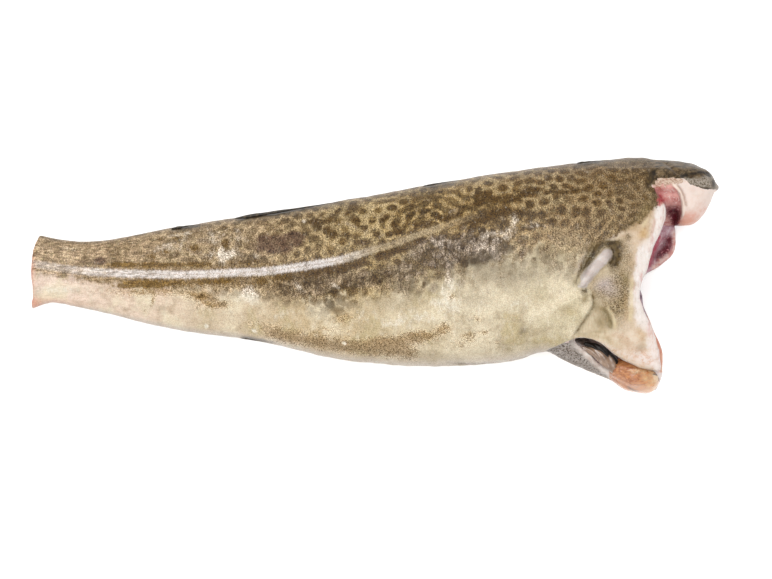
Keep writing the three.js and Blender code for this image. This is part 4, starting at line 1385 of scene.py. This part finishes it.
def throat_muscle():
    rings, sides = 97, 72
    phases = np.random.default_rng(5).uniform(0, 2 * np.pi, 6)
    turn = 2 * np.pi * np.arange(sides) / sides
    points = []
    for lean in np.linspace(0, np.pi, rings):
        ahead, reach = math.cos(lean), math.sin(lean) ** 0.8
        fibre = sum(
            np.sin((5 + 3 * k) * turn + phases[k] + 1.4 * ahead * (k % 3)) / (2 + k)
            for k in range(6)
        )
        knots = math.sin(7 * ahead + phases[0]) * np.cos(turn + 1)
        swell = reach * (1 + 0.035 * fibre + 0.05 * knots)
        points.append(np.stack([0 * turn + ahead, np.cos(turn) * swell, np.sin(turn) * swell], 1))
    points = np.concatenate(points) * MUSCLE_RADII
    cos, sin = math.cos(MUSCLE_TURN), math.sin(MUSCLE_TURN)
    points = points @ np.array([[cos, sin, 0], [-sin, cos, 0], [0, 0, 1]]) + MUSCLE_CENTRE
    for end in (slice(sides), slice(-sides, None)):
        points[end] = points[end].mean(axis=0)
    faces = ring_faces(rings, sides)[2].tolist()
    piece = mesh_from(place(points).tolist(), faces, "throat_muscle")
    turn_outwards(piece, merge=1e-6)
    s, h, z = in_fish(vertex_points(piece))
    at = seen(s, h, z)
    up = step(z, 7.6, 8.6)
    store(piece, "forward", (s - 84.2) / 8)
    store(piece, "below", (-13.2 - h) / 4)
    store(piece, "highlight", total_of(MUSCLE_SHINE, *at) * up)
    store(piece, "nick_shade", total_of(MUSCLE_NICK_SHADE, *at) * up)
    g = Graph("throat_meat")
    fibres = g.noise(0.0016, 4, 0.65, g.scaled(0.3, 1, 1), 0.6)
    clots = g.noise(0.006, 3, 0.6)
    meat = g.blend(fibres, 0.35, 0.65, (220, 150, 92), (170, 100, 52))
    light = g.ease(g.mask("forward") + g.centred(clots, 0.5), 0.45, 0.95)
    meat = g.mix(light, meat, g.blend(fibres, 0.35, 0.6, (226, 158, 96), (244, 204, 150)))
    meat = g.mix(g.ease("below", 0.7, 1) * 0.7, meat, (240, 190, 160))
    # Painted highlights of the wet meat.
    shine = g.mask("highlight") + g.centred(g.noise(0.0022, 3, 0.7), 0.9)
    meat = g.mix(g.ease(shine, 0.3, 1.1, 0, 0.75), meat, (248, 222, 184))
    # The painted shade of the nick and the edges goes over the meat.
    g.look(piece, {
        "Base Color": g.mix("nick_shade", meat, (64, 40, 22)),
        "Roughness": g.ease(clots, 0.3, 0.7, 0.25, 0.42),
        "Subsurface Weight": 0.25, "Subsurface Radius": (1, 0.4, 0.25),
        "Subsurface Scale": 0.003, "Coat Weight": 0.25, "Coat Roughness": 0.15,
        "Normal": g.bump(fibres, 0.7, 0.0008),
    })
    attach(piece, "root")


throat_muscle()


# ---- The belly's lining and the wet membrane in the slit ----
def leaf(name, line, half_widths, levels, thickness, dome):
    """A thin closed sheet along a line of (station, height), domed across its width."""
    path = smooth_line([(x, y, z) for (x, y), z in zip(line, levels)], 8)
    widths = smooth_line([(w,) for w in half_widths], 8)[:, 0]
    ahead = np.gradient(path[:, :2], axis=0)
    ahead /= np.linalg.norm(ahead, axis=1)[:, None]
    across = np.linspace(-1, 1, 15)
    last = len(across) - 1
    points = []
    for face in (1, -1):
        for (x, y, z), w, (dx, dy) in zip(path, widths, ahead):
            for c in across:
                ripple = 0.12 * math.sin(3.1 * x + 5 * c) * w
                lift = dome * w * (1 - c * c) + ripple + face * thickness * (1 - 0.7 * c * c)
                points.append((x - dy * c * w, y + dx * c * w, z + lift))
    number = np.arange(len(points)).reshape(2, len(path), len(across))
    faces = []
    for upper, lower in zip(number[0, :-1], number[0, 1:]):
        below, under = upper + number[1, 0, 0], lower + number[1, 0, 0]
        for j in range(last):
            faces.append((upper[j], lower[j], lower[j + 1], upper[j + 1]))
            faces.append((below[j], below[j + 1], under[j + 1], under[j]))
        for j in (0, last):
            faces.append((upper[j], below[j], under[j], lower[j]))
    for j in range(last):
        for (a, b), (c, d) in zip(number[0, (0, -1), j : j + 2], number[1, (0, -1), j : j + 2]):
            faces.append((a, b, d, c))
    piece = mesh_from(place(points).tolist(), faces, name)
    turn_outwards(piece)
    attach(piece, "root")
    return piece, Graph(name + "_skin")


def belly_lining():
    piece, g = leaf(
        "lining_flap", [(80.2, -10.5), (81.8, -11.1), (83.3, -12.0), (84.4, -13.1), (85.0, -14.0)],
        (0.25, 0.55, 0.85, 0.85, 0.4), (10.0, 10.2, 10.3, 10.2, 9.6), 0.14, 0.3,
    )
    tone = g.noise(0.004, 3, 0.6)
    g.look(piece, {
        "Base Color": g.blend(tone, 0.35, 0.65, (170, 140, 116), (130, 104, 84)),
        "Roughness": g.ease(tone, 0.3, 0.7, 0.2, 0.36), "Coat Weight": 0.3,
        "Normal": g.bump(tone, 0.4, 0.0006),
    })
    piece, g = leaf(
        "wet_membrane", [(80.6, -9.9), (82.0, -10.35), (83.4, -11.2), (84.8, -12.4), (85.6, -13.2)],
        (0.2, 0.5, 0.7, 0.6, 0.25), (10.0, 10.1, 10.1, 9.9, 9.5), 0.08, 0.45,
    )
    # Mostly near black, as painted shade inside the slit, with the membrane's grey streaks.
    tone = g.noise(0.0022, 3, 0.6, g.scaled(0.25, 1, 1), 0.8)
    g.look(piece, {
        "Base Color": g.blend(tone, 0.6, 0.74, (30, 22, 17), (104, 88, 76)),
        "Roughness": g.ease(tone, 0.3, 0.7, 0.3, 0.5), "Specular IOR Level": 0.2,
        "Normal": g.bump(tone, 0.6, 0.0008),
    })


belly_lining()


# ---- Floor, light and camera ----
SKY = 1.15  # the strength of the even white light from all round
FLOOR_SIZE = 6
FLOOR_DROP = 0.0005  # keeps the floor just clear of the fish's flat patch
FLOOR_GREY = 0.94
FLOOR_ROUGHNESS = 0.9
# name, position, size and power of the lamps, which all point at the fish's middle
SOFTBOXES = [
    ("key", (-0.25, 0.35, 1.6), (1.4, 1.1), 26),
    ("fill", (0.4, -0.9, 1.2), (1.2, 0.8), 8),
]


def studio():
    world = bpy.data.worlds.new("studio")
    bpy.context.scene.world = world
    world.use_nodes = True
    background = world.node_tree.nodes["Background"]
    background.inputs["Color"].default_value = (1, 1, 1, 1)
    background.inputs["Strength"].default_value = SKY
    bpy.ops.mesh.primitive_plane_add(size=FLOOR_SIZE, location=(0, 0, -FLOOR_DROP))
    floor = bpy.context.object
    floor.name = "floor"
    paint = bpy.data.materials.new("floor_paint")
    paint.use_nodes = True
    shader = paint.node_tree.nodes["Principled BSDF"]
    shader.inputs["Base Color"].default_value = (FLOOR_GREY, FLOOR_GREY, FLOOR_GREY, 1)
    shader.inputs["Roughness"].default_value = FLOOR_ROUGHNESS
    floor.data.materials.append(paint)
    for name, position, size, power in SOFTBOXES:
        lamp = bpy.data.lights.new(name, "AREA")
        lamp.shape = "RECTANGLE"
        lamp.size, lamp.size_y = size
        lamp.energy = power
        holder = bpy.data.objects.new(name, lamp)
        holder.location = position
        holder.rotation_mode = "QUATERNION"
        holder.rotation_quaternion = (-Vector(position)).to_track_quat("-Z", "Y")
        bpy.context.scene.collection.objects.link(holder)


def camera():
    """Looks straight down on the fish."""
    data = bpy.data.cameras.new("camera")
    data.lens = LENS
    data.sensor_width = SENSOR
    holder = bpy.data.objects.new("camera", data)
    holder.location = place([(*LOOK, MIDDLE_LEVEL + CAMERA_HEIGHT)])[0]
    holder.rotation_euler = (0, 0, 0)
    bpy.context.scene.collection.objects.link(holder)
    bpy.context.scene.camera = holder


studio()
camera()
bpy.context.scene.view_settings.view_transform = "Standard"
